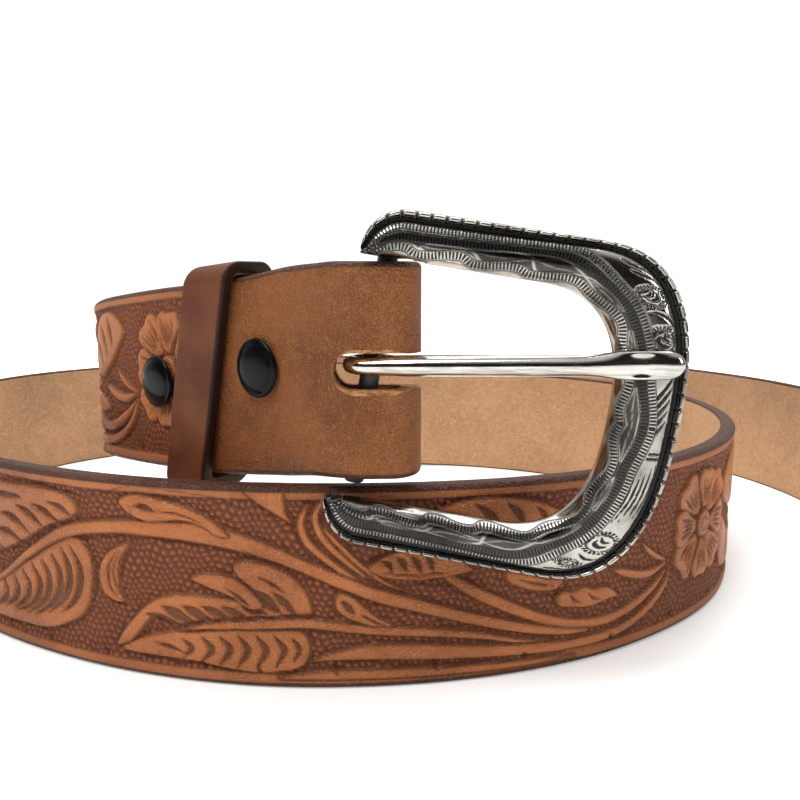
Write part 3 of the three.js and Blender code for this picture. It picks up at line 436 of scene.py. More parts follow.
def drawTooling():
    # height in millimetres above the uncut face, and masks of the matted ground, the painted shade in cut
    # lines and along form outlines, and raised forms.
    # A form is a plateau, top = lip - crown exp(-inside / reach), with the ground pressed in beside it
    pitch, period = tooling["pitch"], tooling["period"]
    columns = int(round(period / pitch))
    rows = int(round(strap["width"] / pitch)) + 1
    x, y = np.meshgrid(tooling["start"] + pitch * np.arange(columns), pitch * np.arange(rows), indexing="ij")
    low, high, soft = tooling["borderLow"], tooling["borderHigh"], tooling["borderSoft"]
    inBorder = stepUp(-soft, soft, y - low) * stepUp(-soft, soft, high - y)
    # The cut mask starts as painted shade along both border lines
    fields = dict(
        height=-tooling["groundDepth"] * inBorder, ground=inBorder.copy(), raised=np.zeros(x.shape),
        cut=tooling["borderInk"] * (np.exp(-np.abs(y - high) / 0.3) + np.exp(-np.abs(y - low) / 0.25)),
    )

    def nearLine(line, pad, closed=False):
        # The repeat's columns round the line, and at each sample the distance to it and its width there
        first, last = ((line[:, 0].min() - pad - tooling["start"]) // pitch,
                       (line[:, 0].max() + pad - tooling["start"]) // pitch + 1)
        here = np.arange(int(first), int(last))
        ids = here % columns
        xs = (tooling["start"] + pitch * here)[:, None] + 0 * y[ids]
        return (ids,) + segmentField(xs, y[ids], line, closed)

    def paintForm(inside, ids):
        part = {name: field[ids] for name, field in fields.items()}
        mask = stepUp(-tooling["formSoft"], tooling["formSoft"], inside)
        out = np.maximum(-inside, 0)
        pressed = part["height"] - tooling["bevelDepth"] * np.exp(-(out / tooling["bevelReach"]) ** 1.3)
        pressed = np.maximum(pressed, -tooling["deepest"])
        top = tooling["formTop"] - tooling["crown"] * np.exp(-np.maximum(inside, 0) / tooling["crownReach"])
        # Painted shade along the form's outline, kept in the cut mask
        edge = np.exp(-(inside / tooling["formInk"]) ** 2)
        fields["height"][ids] = pressed * (1 - mask) + top * mask
        fields["ground"][ids] = part["ground"] * stepUp(*tooling["groundFrom"], out) * (1 - mask)
        fields["cut"][ids] = np.maximum(part["cut"] * (1 - mask), edge)
        fields["raised"][ids] = np.maximum(part["raised"] * (1 - mask), mask)

    def paintCut(line, depth):
        ids, gap, width, _ = nearLine(smoothCurve(line, 7), tooling["nearCut"])
        inside = width * tooling["cutSpread"] / 2 - gap
        fields["height"][ids] -= depth * stepUp(*tooling["grooveFrom"], inside)
        # Painted shade in the cut groove
        inked = tooling["inkShare"] * stepUp(*tooling["inkFrom"], inside)
        fields["cut"][ids] = np.maximum(fields["cut"][ids], inked)

    def paintStem(line):
        ids, gap, width, _ = nearLine(smoothCurve(line, 8), tooling["nearForm"])
        paintForm(width / 2 - gap, ids)

    def paintLeaf(leaf):
        line = smoothCurve(leaf["outline"], 6, closed=True)
        ids, gap, _, within = nearLine(line, tooling["nearForm"], True)
        paintForm(np.where(within, gap, -gap), ids)
        for cut in leaf["cuts"]:
            paintCut(cut, tooling["cutDepth"])

    for leaf in leaves[:2] + leaves[6:7] + leaves[13:]:
        paintLeaf(leaf)
    for leaf in flowerLeaves():
        paintLeaf(leaf)
    for stem in reversed(stems):
        paintStem(stem)
    for leaf in leaves[2:6] + leaves[7:13]:
        paintLeaf(leaf)
    circle = np.stack([np.cos(fullTurn(12)), np.sin(fullTurn(12))], axis=1)
    middle = [flower["s"], flower["h"]]
    paintLeaf(dict(outline=flower["ring"] * circle + middle, cuts=[]))
    eye = flower["eye"] * np.vstack([circle, circle[:1]]) + middle
    paintCut(np.column_stack([eye, np.full(len(eye), 0.5)]), flower["eyeDepth"])
    paintCut(borderLine, tooling["borderCut"])
    for s in borderMarks:
        paintCut([(s + 0.3, 4.2, 0.5), (s, 3.3, 0.9), (s - 0.6, 2.6, 0.4)], tooling["markDepth"])
    dot = tooling["dotPitch"]
    rise = dot * tooling["rowHeight"]
    turn = 2 * math.pi * x / period
    wanderX = x + tooling["dotWander"] * (np.sin(9 * turn + 0.35 * y) + np.sin(23 * turn - 0.5 * y + 1))
    wanderY = y + tooling["dotWander"] * (np.sin(11 * turn + 0.6 * y + 2) + np.sin(31 * turn + 0.2 * y))
    row = np.floor(wanderY / rise)
    across = (wanderX / dot + 0.5 * (row % 2)) % 1 - 0.5
    up = (wanderY / rise) % 1 - 0.5
    radius = np.hypot(across * dot, up * rise)
    dots = (1 - stepUp(0.5 * tooling["dotRadius"], 1.5 * tooling["dotRadius"], radius)) * fields["ground"]
    fields["height"] += tooling["dotHeight"] * dots
    fields["dots"] = dots
    return fields


pattern = drawTooling()
print("tooling drawn")


def patternAt(name, u, h):
    # Bilinear reading of one field of the repeat
    field = pattern[name]
    column = ((u - tooling["start"]) / tooling["pitch"]) % field.shape[0]
    row = np.clip(h / tooling["pitch"], 0, field.shape[1] - 1.001)
    i, j = np.floor(column).astype(int), np.floor(row).astype(int)
    a, b = column - i, row - j
    i, after = i % field.shape[0], (i + 1) % field.shape[0]
    return ((field[i, j] * (1 - b) + field[i, j + 1] * b) * (1 - a)
            + (field[after, j] * (1 - b) + field[after, j + 1] * b) * a)


# Strap: closed stretches of one band, joined end to end where the coil hides the joins

stretches = dict(
    strapFold=(-crestLength - strap["flapLength"], 135.0, 0.42, 0.42),
    strapInner=(135.0, 412.0, 0.6, 0.55),
    strapFront=(412.0, 640.0, 0.38, 0.37),
    strapOuter=(640.0, 930.0, 0.6, 0.55),
    strapTip=(930.0, tipEnd, 0.6, 0.55),
)
leather = dict(
    tooledEnds=(49.0, 51.5), tipPlain=48.0, ripple=0.16, rippleScale=0.045, sideWave=0.35,
    edgeSteps=5, backSteps=26, edgeFade=(0.2, 1.6), edgeInk=0.9,
)


def strapRing(faceStep):
    # Depth into the leather, height h and side (0 grain, 1 edge, 2 flesh) round one section
    width, thick = strap["width"], strap["thick"]
    outer, inner = strap["grainRound"], strap["fleshRound"]
    quarter = np.linspace(0, math.pi / 2, 7)[1:-1]
    face = np.linspace(outer, width - outer, int((width - 2 * outer) / faceStep) + 1)
    fall, rise = 1 - np.cos(quarter), 1 - np.sin(quarter)
    wall = np.linspace(outer, thick - inner, leather["edgeSteps"])
    corner = [outer * fall, wall, thick - inner * rise]
    edge = [outer * rise, 0 * wall, inner * fall]
    back = np.linspace(width - inner, inner, leather["backSteps"])
    deep = np.concatenate([0 * face] + corner + [thick + 0 * back] + [part[::-1] for part in corner[::-1]])
    high = [face] + [width - part for part in edge] + [back] + [part[::-1] for part in edge[::-1]]
    high = np.concatenate(high)
    side = np.where(deep < 1e-6, 0.0, np.where(deep > thick - 1e-6, 2.0, 1.0))
    return deep, high, side


def strapStretch(name, start, stop, step, faceStep):
    # point(u, j) = grain face at u, moved in by the ring's depth and out by the tooling's height
    u = np.linspace(start, stop, int(round((stop - start) / step)) + 1)
    deep, high, side = strapRing(faceStep)
    point, inward, low, top = bandAt(u)
    uu, hh = np.meshgrid(u, high, indexing="ij")
    tooled = stepUp(*leather["tooledEnds"], uu) * (1 - stepUp(0, 2, uu - (tipEnd - leather["tipPlain"])))
    tooled = tooled * (side[None, :] == 0)
    fade = stepUp(*leather["edgeFade"], hh) * stepUp(*leather["edgeFade"], strap["width"] - hh) * tooled
    relief = patternAt("height", uu, hh) * fade
    ripple = leather["ripple"] * noise(uu * leather["rippleScale"] * 4, hh * leather["rippleScale"] * 5, 3)
    depth = deep[None, :] - relief - ripple * (side[None, :] == 0) * (1 - tooled) * fade.clip(0.3, 1)
    wave = leather["sideWave"] * noise(uu * leather["rippleScale"], 0 * uu, 5, 2) * stepUp(90, 140, uu)
    z = low[:, None] + hh / strap["width"] * (top - low)[:, None] + wave * (hh / strap["width"])
    xy = point[:, None, :] + inward[:, None, :] * depth[..., None]
    piece = loftMesh(name, np.concatenate([xy, z[..., None]], axis=-1))
    for field in ("ground", "cut", "raised", "dots"):
        addValues(piece, field, patternAt(field, uu, hh) * tooled)
    addValues(piece, "tooled", tooled)
    fromEdge = np.minimum(hh, strap["width"] - hh)
    onEdge, onGrain = (side[None, :] == kind for kind in (1, 0))
    addValues(piece, "edge", np.maximum(1.0 * onEdge, np.exp(-fromEdge / leather["edgeInk"]) * onGrain))
    addValues(piece, "flesh", np.maximum(side[None, :] - 1, 0) + 0 * uu)
    return piece


strapPieces = {name: strapStretch(name, *span) for name, span in stretches.items()}
for piece in strapPieces.values():
    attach(piece, "belt")
    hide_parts("strap")
print("strap lofted")


# Buckle frame: a C of two arms and a far side, worked out in its own plane, x along the arms and z up the bar

buckle = dict(
    tilt=math.radians(9), yaw=math.radians(3.5), reach=52.3, armWidth=8.1, windowReach=40.7, windowHalf=20.5,
    overhang=4.2, endRadius=7.2, endInset=0.3, cornerReach=18.6, windowCorner=15.8, power=2.6, thick=4.0,
    setback=3.8, endThinning=1.0, rimWidth=1.2, rimHeight=3.0, grooveWidth=0.8, grooveHeight=1.7,
    rimRound=1.1, endShare=0.14, armShare=0.5, notchPitch=2.5, notchWidth=0.4, notchDepth=0.8,
    waveLength=11.0, waveHeight=0.5, barRadius=1.75, barStart=0.4, barEnd=0.4, lugRadius=2.8, lugHeight=5.0,
    lugFront=1.6, lugRise=0.2, gap=0.35, clearReach=4.0, loopReach=90.0, hatchPitch=0.57,
    step=0.19, rimSteps=9, grooveSteps=5, bandSteps=46, edgeShare=0.6, innerRun=0.16, backRound=0.55,
    backEdge=0.5, backShares=(1, 0.97, 0.8, 0.5, 0.2, 0.03, 0),
)
buckle["half"] = buckle["windowHalf"] + buckle["armWidth"]
crownTable = [(0.0, 0.55), (0.07, 0.82), (0.2, 0.94), (0.5, 1.0), (0.75, 0.95), (0.88, 0.84), (0.95, 0.64),
              (1.0, 0.35)]


def superCorner(t, start, reach, half):
    # Quarter of a superellipse: x = start + reach cos(a)^p, z = half sin(a)^p
    angle = (1 - np.clip(t, 0, 1)) * math.pi / 2
    power = 2 / buckle["power"]
    return start + reach * np.cos(angle).clip(0) ** power, half * np.sin(angle).clip(0) ** power


def frameEdges(t):
    # Outer and inner edge of the upper half at share t, from the arm's end (0) to mid far side (1)
    ends, arms = buckle["endShare"], buckle["armShare"]
    armStart = buckle["endRadius"] - buckle["overhang"]
    along = ((t - ends) / (arms - ends)).clip(0, 1)
    round_ = np.clip(t / ends, 0, 1) * math.pi / 2
    turn = (t - arms) / (1 - arms)
    outerStop = buckle["reach"] - buckle["cornerReach"]
    cx, cz = superCorner(turn, outerStop, buckle["cornerReach"], buckle["half"])
    ox = np.where(t < ends, armStart - buckle["endRadius"] * np.cos(round_),
                  armStart + along * (outerStop - armStart))
    oz = np.where(t < ends, buckle["half"] + buckle["endRadius"] * (np.sin(round_) - 1), buckle["half"])
    innerStop = buckle["windowReach"] - buckle["windowCorner"]
    wx, wz = superCorner(turn, innerStop, buckle["windowCorner"], buckle["windowHalf"])
    firstX = buckle["endInset"] - buckle["overhang"]
    ix = np.where(t < ends, firstX + np.clip(t / ends, 0, 1) * (armStart - firstX),
                  armStart + along * (innerStop - armStart))
    iz = np.full(t.shape, buckle["windowHalf"])
    late = t > arms
    return (np.stack([np.where(late, cx, ox), np.where(late, cz, oz)], -1),
            np.stack([np.where(late, wx, ix), np.where(late, wz, iz)], -1))


# Engraving in band coordinates: a from the middle of the far side out along the arm, q in from the groove

engraving = dict(
    barLength=0.6, rows=(0.8, 2.4), inner=1.6, pitch=0.1, length=90.0, width=11.0, depth=0.14, scallop=0.25,
    ringWidth=0.34, ringBars=26, ringSoft=0.08, strokeReach=0.8, strokeRadius=2.1,
    lensPhase=0.8, lensHeight=0.85, lensPower=0.8, veinInk=0.6,
)
# Place along, place in, radius and turn of each flower, and the strokes inside it
engravedFlowers = (
    (15.5, 2.6, 2.4, 0.4), (23.4, 2.5, 2.1, 2.0), (-23.0, 2.7, 2.5, 1.2), (-30.2, 1.9, 1.5, 2.9),
)
flowerStrokes = (
    ((-0.6, -0.15, 0.12), (-0.25, 0.35, 0.62), (0.3, 0.32, 0.5), (0.48, -0.05, 0.14)),
    ((-0.4, -0.6, 0.12), (0.05, -0.22, 0.5), (0.6, -0.5, 0.14)),
    ((0.86, -0.1, 0.1), (0.8, 0.42, 0.36), (0.4, 0.75, 0.1)),
)
engravedLines = [
    [(18.4, 0.5, 0.2), (19.4, 1.3, 0.7), (20.4, 2.7, 0.5), (20.6, 4.0, 0.2)],
    [(26.4, 0.6, 0.2), (27.8, 1.6, 0.7), (29.6, 2.2, 0.2)],
    [(28.4, 0.6, 0.2), (30.2, 1.1, 0.6), (32.6, 1.2, 0.2)],
    [(-5.2, 0.6, 0.35), (-5.4, 2.6, 0.35)], [(-4.3, 0.6, 0.35), (-4.5, 2.4, 0.35)],
    [(-26.6, 0.5, 0.2), (-27.4, 1.8, 0.7), (-26.8, 3.2, 0.2)],
    [(-32.2, 0.5, 0.2), (-33.8, 1.0, 0.6), (-35.6, 0.9, 0.2)],
]
scrollStroke = ((-3.4, 3.9, 0.14), (-1.6, 2.7, 0.5), (1.8, 0.7, 0.14))
armStroke = ((41.0, 1.75, 0.15), (42.6, 1.5, 0.62), (44.0, 1.55, 0.15))
for k in range(5):
    engravedLines.append([(1.9 * k + a, q, width) for a, q, width in scrollStroke])
    engravedLines.append([(-6.4 - 0.5 * k, 0.6 + 0.75 * k, 0.12), (-10.4 - 1.1 * k, 0.5 + 0.88 * k, 0.4),
                          (-16.6 - 0.6 * k, 1.1 + 0.95 * k, 0.12)])
for k in range(10):
    for way in (1, -1):
        engravedLines.append([(way * (a + 3.3 * k), q, width) for a, q, width in armStroke])


def rowPlace(a, bandWidth):
    # Distance of the two hatched rows from the groove: they swing inwards round the scroll at the corner
    swing = stepUp(44, 25, a) * (0.6 + 0.4 * stepUp(0, 9, a))
    first = engraving["rows"][0] + swing * (bandWidth - 6.0) * 0.95
    second = first + (engraving["rows"][1] - engraving["rows"][0]) * (1 - 0.15 * swing)
    wave = buckle["waveHeight"] * np.sin(2 * math.pi * a / buckle["waveLength"])
    return first, second, bandWidth - engraving["inner"] + wave


def engravedAt(a, q):
    # 1 where half a line's width is more than the distance to it, and in a ring of bars round each flower
    pitch, end, soft = engraving["pitch"], engraving["length"], engraving["ringSoft"]
    x, y = np.meshgrid(np.arange(-end, end, pitch), np.arange(0, engraving["width"], pitch), indexing="ij")
    inked = np.zeros(x.shape)
    lines = list(engravedLines)
    for place, depth, radius, turn in engravedFlowers:
        reach, cosine, sine = engraving["strokeReach"] * radius, math.cos(turn), math.sin(turn)
        wider = radius / engraving["strokeRadius"]
        for stroke in flowerStrokes:
            lines.append([(place + reach * (u * cosine - v * sine), depth + reach * (u * sine + v * cosine),
                           width * wider) for u, v, width in stroke])
        away = np.hypot(x - place, y - depth)
        bars = stepUp(-0.3, 0.3, np.sin(engraving["ringBars"] * np.arctan2(y - depth, x - place)))
        wide = engraving["ringWidth"]
        ring = bars * stepUp(wide + soft, wide - soft, np.abs(away - radius))
        inked = np.maximum(inked, np.maximum(ring, stepUp(0.16, 0.06, np.abs(away - radius + 0.5))))
    for line in lines:
        line = smoothCurve(line, 6)
        i0, i1 = int((line[:, 0].min() + end - 1) / pitch), int((line[:, 0].max() + end + 1) / pitch)
        gap, width, _ = segmentField(x[i0:i1], y[i0:i1], line, False)
        inked[i0:i1] = np.maximum(inked[i0:i1], stepUp(-0.08, 0.1, width / 2 - gap))
    i = np.clip(((a + end) / pitch).round().astype(int), 0, x.shape[0] - 1)
    j = np.clip((q / pitch).round().astype(int), 0, x.shape[1] - 1)
    return inked[i, j]


def yawed(x, y):
    cosine, sine = math.cos(buckle["yaw"]), math.sin(buckle["yaw"])
    return x * cosine + y * sine, -x * sine + y * cosine


def intoBelt(local):
    # Turned by the yaw about the bar, then tilted in the picture's plane, then moved to the bar
    x, y = yawed(local[..., 0], local[..., 1])
    z = local[..., 2]
    ct, st = math.cos(buckle["tilt"]), math.sin(buckle["tilt"])
    return np.stack([x * ct + z * st, y, -x * st + z * ct], axis=-1) + barPlace


def keepClear(points):
    # The frame's back is dressed down where the fold and the front loop lie behind it
    gap, reach = buckle["gap"], buckle["clearReach"]
    x, y, z = points[..., 0], points[..., 1], points[..., 2]
    loopFace = routeAt(np.linspace(400, 800, 400))[0][:, 1].min()
    y = np.where((z < strap["width"] + gap) & (x < buckle["loopReach"]), np.minimum(y, loopFace - gap), y)
    foldTop = foldLow + strap["width"] - strap["foldTrim"] + gap
    overFold = (x < foldPlace[0] + foldRadius + gap) & (y > foldPlace[1] - gap)
    z = np.where(overFold & (z > foldTop - reach) & (z < foldTop), foldTop, z)
    low = foldLow + strap["foldTrim"] - gap
    z = np.where(overFold & (z < low + reach) & (z > low), low, z)
    return np.stack([x, y, z], axis=-1)


def alongRow(points, line):
    # For each point: how far along the line its nearest place lies, and the distance to it
    starts, steps = line[:-1], np.diff(line, axis=0)
    lengths = np.linalg.norm(steps, axis=1)
    before = runOf(line)
    coarse = np.arange(0, len(starts), 3)
    nearest = np.zeros(points.shape[:2], int)
    for i in range(0, len(points), 40):
        away = np.linalg.norm(points[i:i + 40, :, None] - starts[coarse], axis=-1)
        nearest[i:i + 40] = coarse[away.argmin(axis=-1)]
    best, run = np.full(points.shape[:2], 1e9), np.zeros(points.shape[:2])
    for shift in range(-3, 4):
        k = np.clip(nearest + shift, 0, len(starts) - 1)
        along = ((points - starts[k]) * steps[k]).sum(-1) / (lengths[k] ** 2 + 1e-12)
        along = np.clip(along, 0, 1)
        gap = np.linalg.norm(points - starts[k] - along[..., None] * steps[k], axis=-1)
        closer = gap < best
        best = np.where(closer, gap, best)
        run = np.where(closer, before[-1] - before[k] - along * lengths[k], run)
    return run, best


def mirrored(half, count):
    # The upper half's values followed by the lower half's, which are the same in reverse
    return np.concatenate([half, half[:count - len(half)][::-1]])


def makeFrame():
    # point(t, c) = outer + c (inner - outer), at the height of a rim, a groove and a domed band
    fine = np.linspace(0, 1, 4000)
    outer, inner = frameEdges(fine)
    length = runOf(outer)
    t = np.interp(np.linspace(0, length[-1], int(length[-1] / buckle["step"])), length, fine)
    t = np.concatenate([t, t[-2::-1]])
    side = np.where(np.arange(len(t)) < (len(t) + 1) // 2, 1.0, -1.0)
    outer, inner = frameEdges(t)
    width = np.linalg.norm(inner - outer, axis=1)[:, None]
    fullBand = buckle["rimWidth"] + buckle["grooveWidth"]
    tight = np.minimum(1, buckle["edgeShare"] * width / fullBand)
    band = tight * fullBand
    rim = np.linspace(0, 1, buckle["rimSteps"])[None, :] * buckle["rimWidth"]
    groove = np.linspace(0.1, 0.9, buckle["grooveSteps"])[None, :]
    groove = buckle["rimWidth"] + groove * buckle["grooveWidth"]
    share = np.linspace(0, 1, buckle["bandSteps"])[None, :]
    across = np.concatenate([rim * tight, groove * tight, band + share * (width - band)], axis=1)
    rimUp = buckle["rimHeight"] - buckle["rimRound"] * np.abs(2 * rim / buckle["rimWidth"] - 1) ** 3
    fromMiddle = runOf(outer)
    fromMiddle = np.abs(fromMiddle - fromMiddle[-1] / 2)[:, None]
    phase = fromMiddle / buckle["notchPitch"] % 1 - 0.5
    notch = np.exp(-(phase * buckle["notchPitch"] / (0.6 * buckle["notchWidth"])) ** 4)
    rimUp = rimUp - buckle["notchDepth"] * notch
    crown = smoothCurve(crownTable, 10)
    bandUp = buckle["thick"] * np.interp(share, crown[:, 0], crown[:, 1]) + 0 * width
    q = share * (width - band)
    a = fromMiddle * (1 - buckle["innerRun"] * share)
    first, second, wavy = rowPlace(a, width - band)
    inked = engravedAt(a * side[:, None], q) * stepUp(0.5, 0.75, np.minimum(abs(q - first), abs(q - second)))
    scallop = stepUp(0.1, 0.9, q - wavy - engraving["barLength"])
    bandUp = bandUp - engraving["depth"] * inked - engraving["scallop"] * scallop * (share < 0.97)
    up = np.concatenate([rimUp, buckle["grooveHeight"] + 0 * (groove + width), bandUp], axis=1)
    thinning = (buckle["endThinning"] * (1 - ease(t / buckle["endShare"])))[:, None]
    backShare = np.array(buckle["backShares"])[None, :]
    backUp = thinning + np.array([buckle["backRound"], 0, 0, 0, 0, 0, buckle["backEdge"]])[None, :]
    across = np.concatenate([across, backShare * width], axis=1)
    up = np.concatenate([up, backUp + 0 * width], axis=1)
    flat = outer[:, None, :] + (inner - outer)[:, None, :] * (across / width)[..., None]
    local = np.stack([flat[..., 0], -buckle["setback"] - up, flat[..., 1] * side[:, None]], axis=-1)
    piece = loftMesh("buckleFrame", keepClear(intoBelt(local)))
    lead, back = rim.shape[1] + groove.shape[1], backShare.shape[1]

    def padded(values, before, after):
        ones = np.ones((len(t), 1))
        return np.concatenate([before * ones.repeat(lead, 1), values, after * ones.repeat(back, 1)], axis=1)

    middle = (len(t) + 1) // 2
    for name, row in (("One", first), ("Two", second), ("Wave", wavy)):
        center = np.take_along_axis(row, np.abs(q - row).argmin(axis=1)[:, None], axis=1)
        line = outer + (inner - outer) * ((band + center) / width)
        run, gap = alongRow(flat[:middle, lead:lead + buckle["bandSteps"]], line[:middle])
        addValues(piece, "run" + name, padded(mirrored(run, len(t)), 0, 0))
        addValues(piece, "row" + name, padded(mirrored(gap, len(t)), 9, 9))
    lane = stepUp(0.6, 0.75, q - first) * stepUp(0.6, 0.75, wavy - q)
    centre, laneHalf = (second + wavy) / 2, (wavy - second) / 2 - engraving["barLength"]
    swell = np.abs(np.sin(math.pi * a / buckle["waveLength"] + engraving["lensPhase"]))
    lens = engraving["lensHeight"] * laneHalf * swell ** engraving["lensPower"]
    outline = stepUp(0.2, 0.06, np.abs(np.abs(q - centre) - lens)) * (laneHalf > 0.5) * (q > second + 0.5)
    vein = stepUp(0.13, 0.04, np.abs(q - centre)) * stepUp(0.2, 0.4, lens)
    addValues(piece, "shaded", padded(lane * (1 - np.maximum(outline, engraving["veinInk"] * vein)), 0, 0))
    addValues(piece, "inked", padded(inked, 0, 0))
    grooveMask = np.zeros(across.shape)
    grooveMask[:, rim.shape[1] - 1:lead + 2] = 1
    grooveMask[:, :rim.shape[1] - 1] = notch
    addValues(piece, "recess", grooveMask)
    return piece


def tubeMesh(name, centre, radii, sides=24):
    # Rings of a radius about a straight or bent centre line, each square to the line
    centre = np.asarray(centre, float)
    ahead = np.gradient(centre, axis=0)
    ahead /= np.linalg.norm(ahead, axis=1, keepdims=True)
    up = np.where(np.abs(ahead[:, 2:]) > 0.9, [[0, 1, 0]], [[0, 0, 1]])
    sideways = np.cross(ahead, up)
    sideways /= np.linalg.norm(sideways, axis=1, keepdims=True)
    over = np.cross(sideways, ahead)
    angle = fullTurn(sides)
    radii = np.asarray(radii, float).reshape(len(centre), -1)
    wide, tall = radii[:, :1], radii[:, -1:]
    grid = (centre[:, None] + sideways[:, None] * (wide * np.cos(angle))[..., None]
            + over[:, None] * (tall * np.sin(angle))[..., None])
    return loftMesh(name, grid)


def roundedEnds(length, radius, round_, count=5):
    # Places and radii along a bar whose ends are quarter rounds
    turn = np.linspace(0, math.pi / 2, count)
    start = round_ * (1 - np.cos(turn))
    shrink = radius - round_ * (1 - np.sin(turn))
    places = np.concatenate([start, [length / 2], length - start[::-1]])
    return places, np.concatenate([shrink, [radius], shrink[::-1]])


def joinInto(piece, others):
    with bpy.context.temp_override(active_object=piece, selected_editable_objects=[piece] + others):
        bpy.ops.object.join()


def makeBar():
    # The bar, which ends above the front loop, and the upper lug that holds it, in the frame's own axes
    low = -(barPlace[2] - strap["width"] - buckle["gap"]) / math.cos(buckle["tilt"]) + buckle["barStart"]
    high = buckle["windowHalf"] + buckle["lugHeight"] / 2
    places, radii = roundedEnds(high - low, buckle["barRadius"], buckle["barEnd"])
    local = np.stack([0 * places, 0 * places, low + places], axis=1)
    bar = tubeMesh("bar", intoBelt(local), radii)
    reach = buckle["setback"] + buckle["grooveHeight"]
    z = high + buckle["lugRise"]
    local = np.stack([np.zeros(9), np.linspace(buckle["lugFront"], -reach, 9), np.full(9, z)], axis=1)
    size = buckle["lugRadius"] * np.append([0.72, 0.92], np.ones(7))
    tall = 0.5 * buckle["lugHeight"] * np.append([0.8, 0.96], np.ones(7))
    return [bar, tubeMesh("lug", intoBelt(local), np.stack([size, tall], axis=1))]


buckleFrame = makeFrame()
joinInto(buckleFrame, makeBar())
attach(buckleFrame, "frame")
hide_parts("buckle_frame")
print("buckle frame made")


# Tongue: an open loop round the bar, a round shaft over the frame, and a flattened tip with a thumb hollow

prong = dict(
    wire=1.5, shaft=1.75, tipWidth=2.35, tipDepth=1.45, loopRadius=3.6, wrap=math.radians(262), rise=1.3,
    shortfall=1.1, tipLength=12.0, overFrame=10.0, hollow=0.85, hollowPlace=0.45, hollowReach=0.28,
    closeFrom=0.7, closePower=2.4, loopSteps=60, shaftSteps=60, tipSteps=42, sides=40,
)
tonguePlace = 1000 * np.array(joints["tongue_swing"]["pos_m"])


def makeTongue():
    # Rings along a circular arc and then a straight line, each half depth by half height
    reach = (buckle["reach"] - prong["shortfall"]) * math.cos(buckle["tilt"])
    slope = math.atan2(prong["overFrame"] - prong["loopRadius"], reach)
    leave = -math.pi / 2 - slope
    lap = np.linspace(0, 1, prong["loopSteps"])
    turn = leave - prong["wrap"] * (1 - lap)
    loop = prong["loopRadius"] * np.stack([np.cos(turn), np.sin(turn), 0 * turn], axis=1)
    length = (reach - loop[-1, 0]) / math.cos(slope)
    tipStart = length - prong["tipLength"]
    tipRun = np.sin(np.linspace(0, math.pi / 2, prong["tipSteps"])[1:])
    d = np.append(np.linspace(1, tipStart, prong["shaftSteps"]), tipStart + prong["tipLength"] * tipRun)
    shaft = loop[-1] + d[:, None] * [math.cos(slope), -math.sin(slope), 0]
    shaft[:, 2] = prong["rise"] * d / length
    heading = np.concatenate([turn + math.pi / 2, np.full(len(d), -slope)])
    body = prong["wire"] + (prong["shaft"] - prong["wire"]) * stepUp(0, 9, d)
    share = ((d - tipStart) / prong["tipLength"]).clip(0, 1)
    into = stepUp(-0.35, 0.3, (d - tipStart) / prong["tipLength"])
    closing = np.clip((share - prong["closeFrom"]) / (1 - prong["closeFrom"]), 0, 1)
    close = np.sqrt(np.clip(1 - closing ** prong["closePower"], 0, 1)) * 0.97 + 0.03
    tall = (body + (prong["tipWidth"] - body) * into) * close
    deep = (body + (prong["tipDepth"] - body) * into) * close
    start = np.sqrt(np.clip(1 - (1 - lap * 14).clip(0) ** 2, 0.03, 1))
    tall = np.concatenate([prong["wire"] * start, tall])
    deep = np.concatenate([prong["wire"] * start, deep])
    middle = np.vstack([loop, shaft])
    angle = fullTurn(prong["sides"])
    front = np.cos(angle)[None, :]
    hollow = np.exp(-((share - prong["hollowPlace"]) / prong["hollowReach"]) ** 2) * (share > 0)
    hollow = np.append(0 * turn, prong["hollow"] * hollow)
    offset = deep[:, None] * front - hollow[:, None] * stepUp(0.35, 1.0, front)
    outward = np.stack([np.sin(heading), -np.cos(heading), 0 * heading], axis=1)
    grid = middle[:, None] + outward[:, None] * offset[..., None]
    grid[..., 2] += tall[:, None] * np.sin(angle)
    grid[..., 0], grid[..., 1] = yawed(grid[..., 0].copy(), grid[..., 1].copy())
    return loftMesh("tongueProng", grid + tonguePlace)


tongueProng = makeTongue()
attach(tongueProng, "tongue")
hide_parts("tongue")


# Snaps: a low lacquered cap in front and a flat stud behind, each on a shank through its own layer

snaps = dict(
    places=((28.8, 1.6), (59.8, -0.4)), capRadius=5.45, capHeight=1.5, studRadius=4.8, studHeight=0.9,
    shank=2.2, shankShort=0.1, point=0.004, standoff=0.5, sides=72,
)
capShape = [(0.93, 0.0), (1.0, 0.18), (1.0, 0.4), (0.95, 0.58), (0.88, 0.62), (0.84, 0.68), (0.7, 0.84),
            (0.45, 0.95), (0.2, 0.99), (0.004, 1.0)]
studShape = [(0.96, 0.0), (1.0, 0.3), (0.98, 0.7), (0.86, 0.98), (0.6, 1.0), (0.52, 0.7), (0.4, 0.62),
             (0.2, 0.6), (0.004, 0.6)]


def turnedPiece(name, place, outward, shape, radius, height):
    # point(i, a) = place + outward * height_i + radius_i * (side cos a + up sin a)
    shape = smoothCurve(shape, 5)
    depth = -strap["thick"] + snaps["shankShort"]
    out = np.concatenate([[snaps["point"], snaps["shank"], snaps["shank"]], shape[:, 0] * radius])
    up = np.concatenate([[depth, depth, snaps["standoff"]], snaps["standoff"] + shape[:, 1] * height])
    angle = fullTurn(snaps["sides"])
    side = np.array([-outward[1], outward[0], 0])
    grid = (place + outward * up[:, None, None]
            + side * (out[:, None] * np.cos(angle))[..., None]
            + np.array([0, 0, 1]) * (out[:, None] * np.sin(angle))[..., None])
    return loftMesh(name, grid)


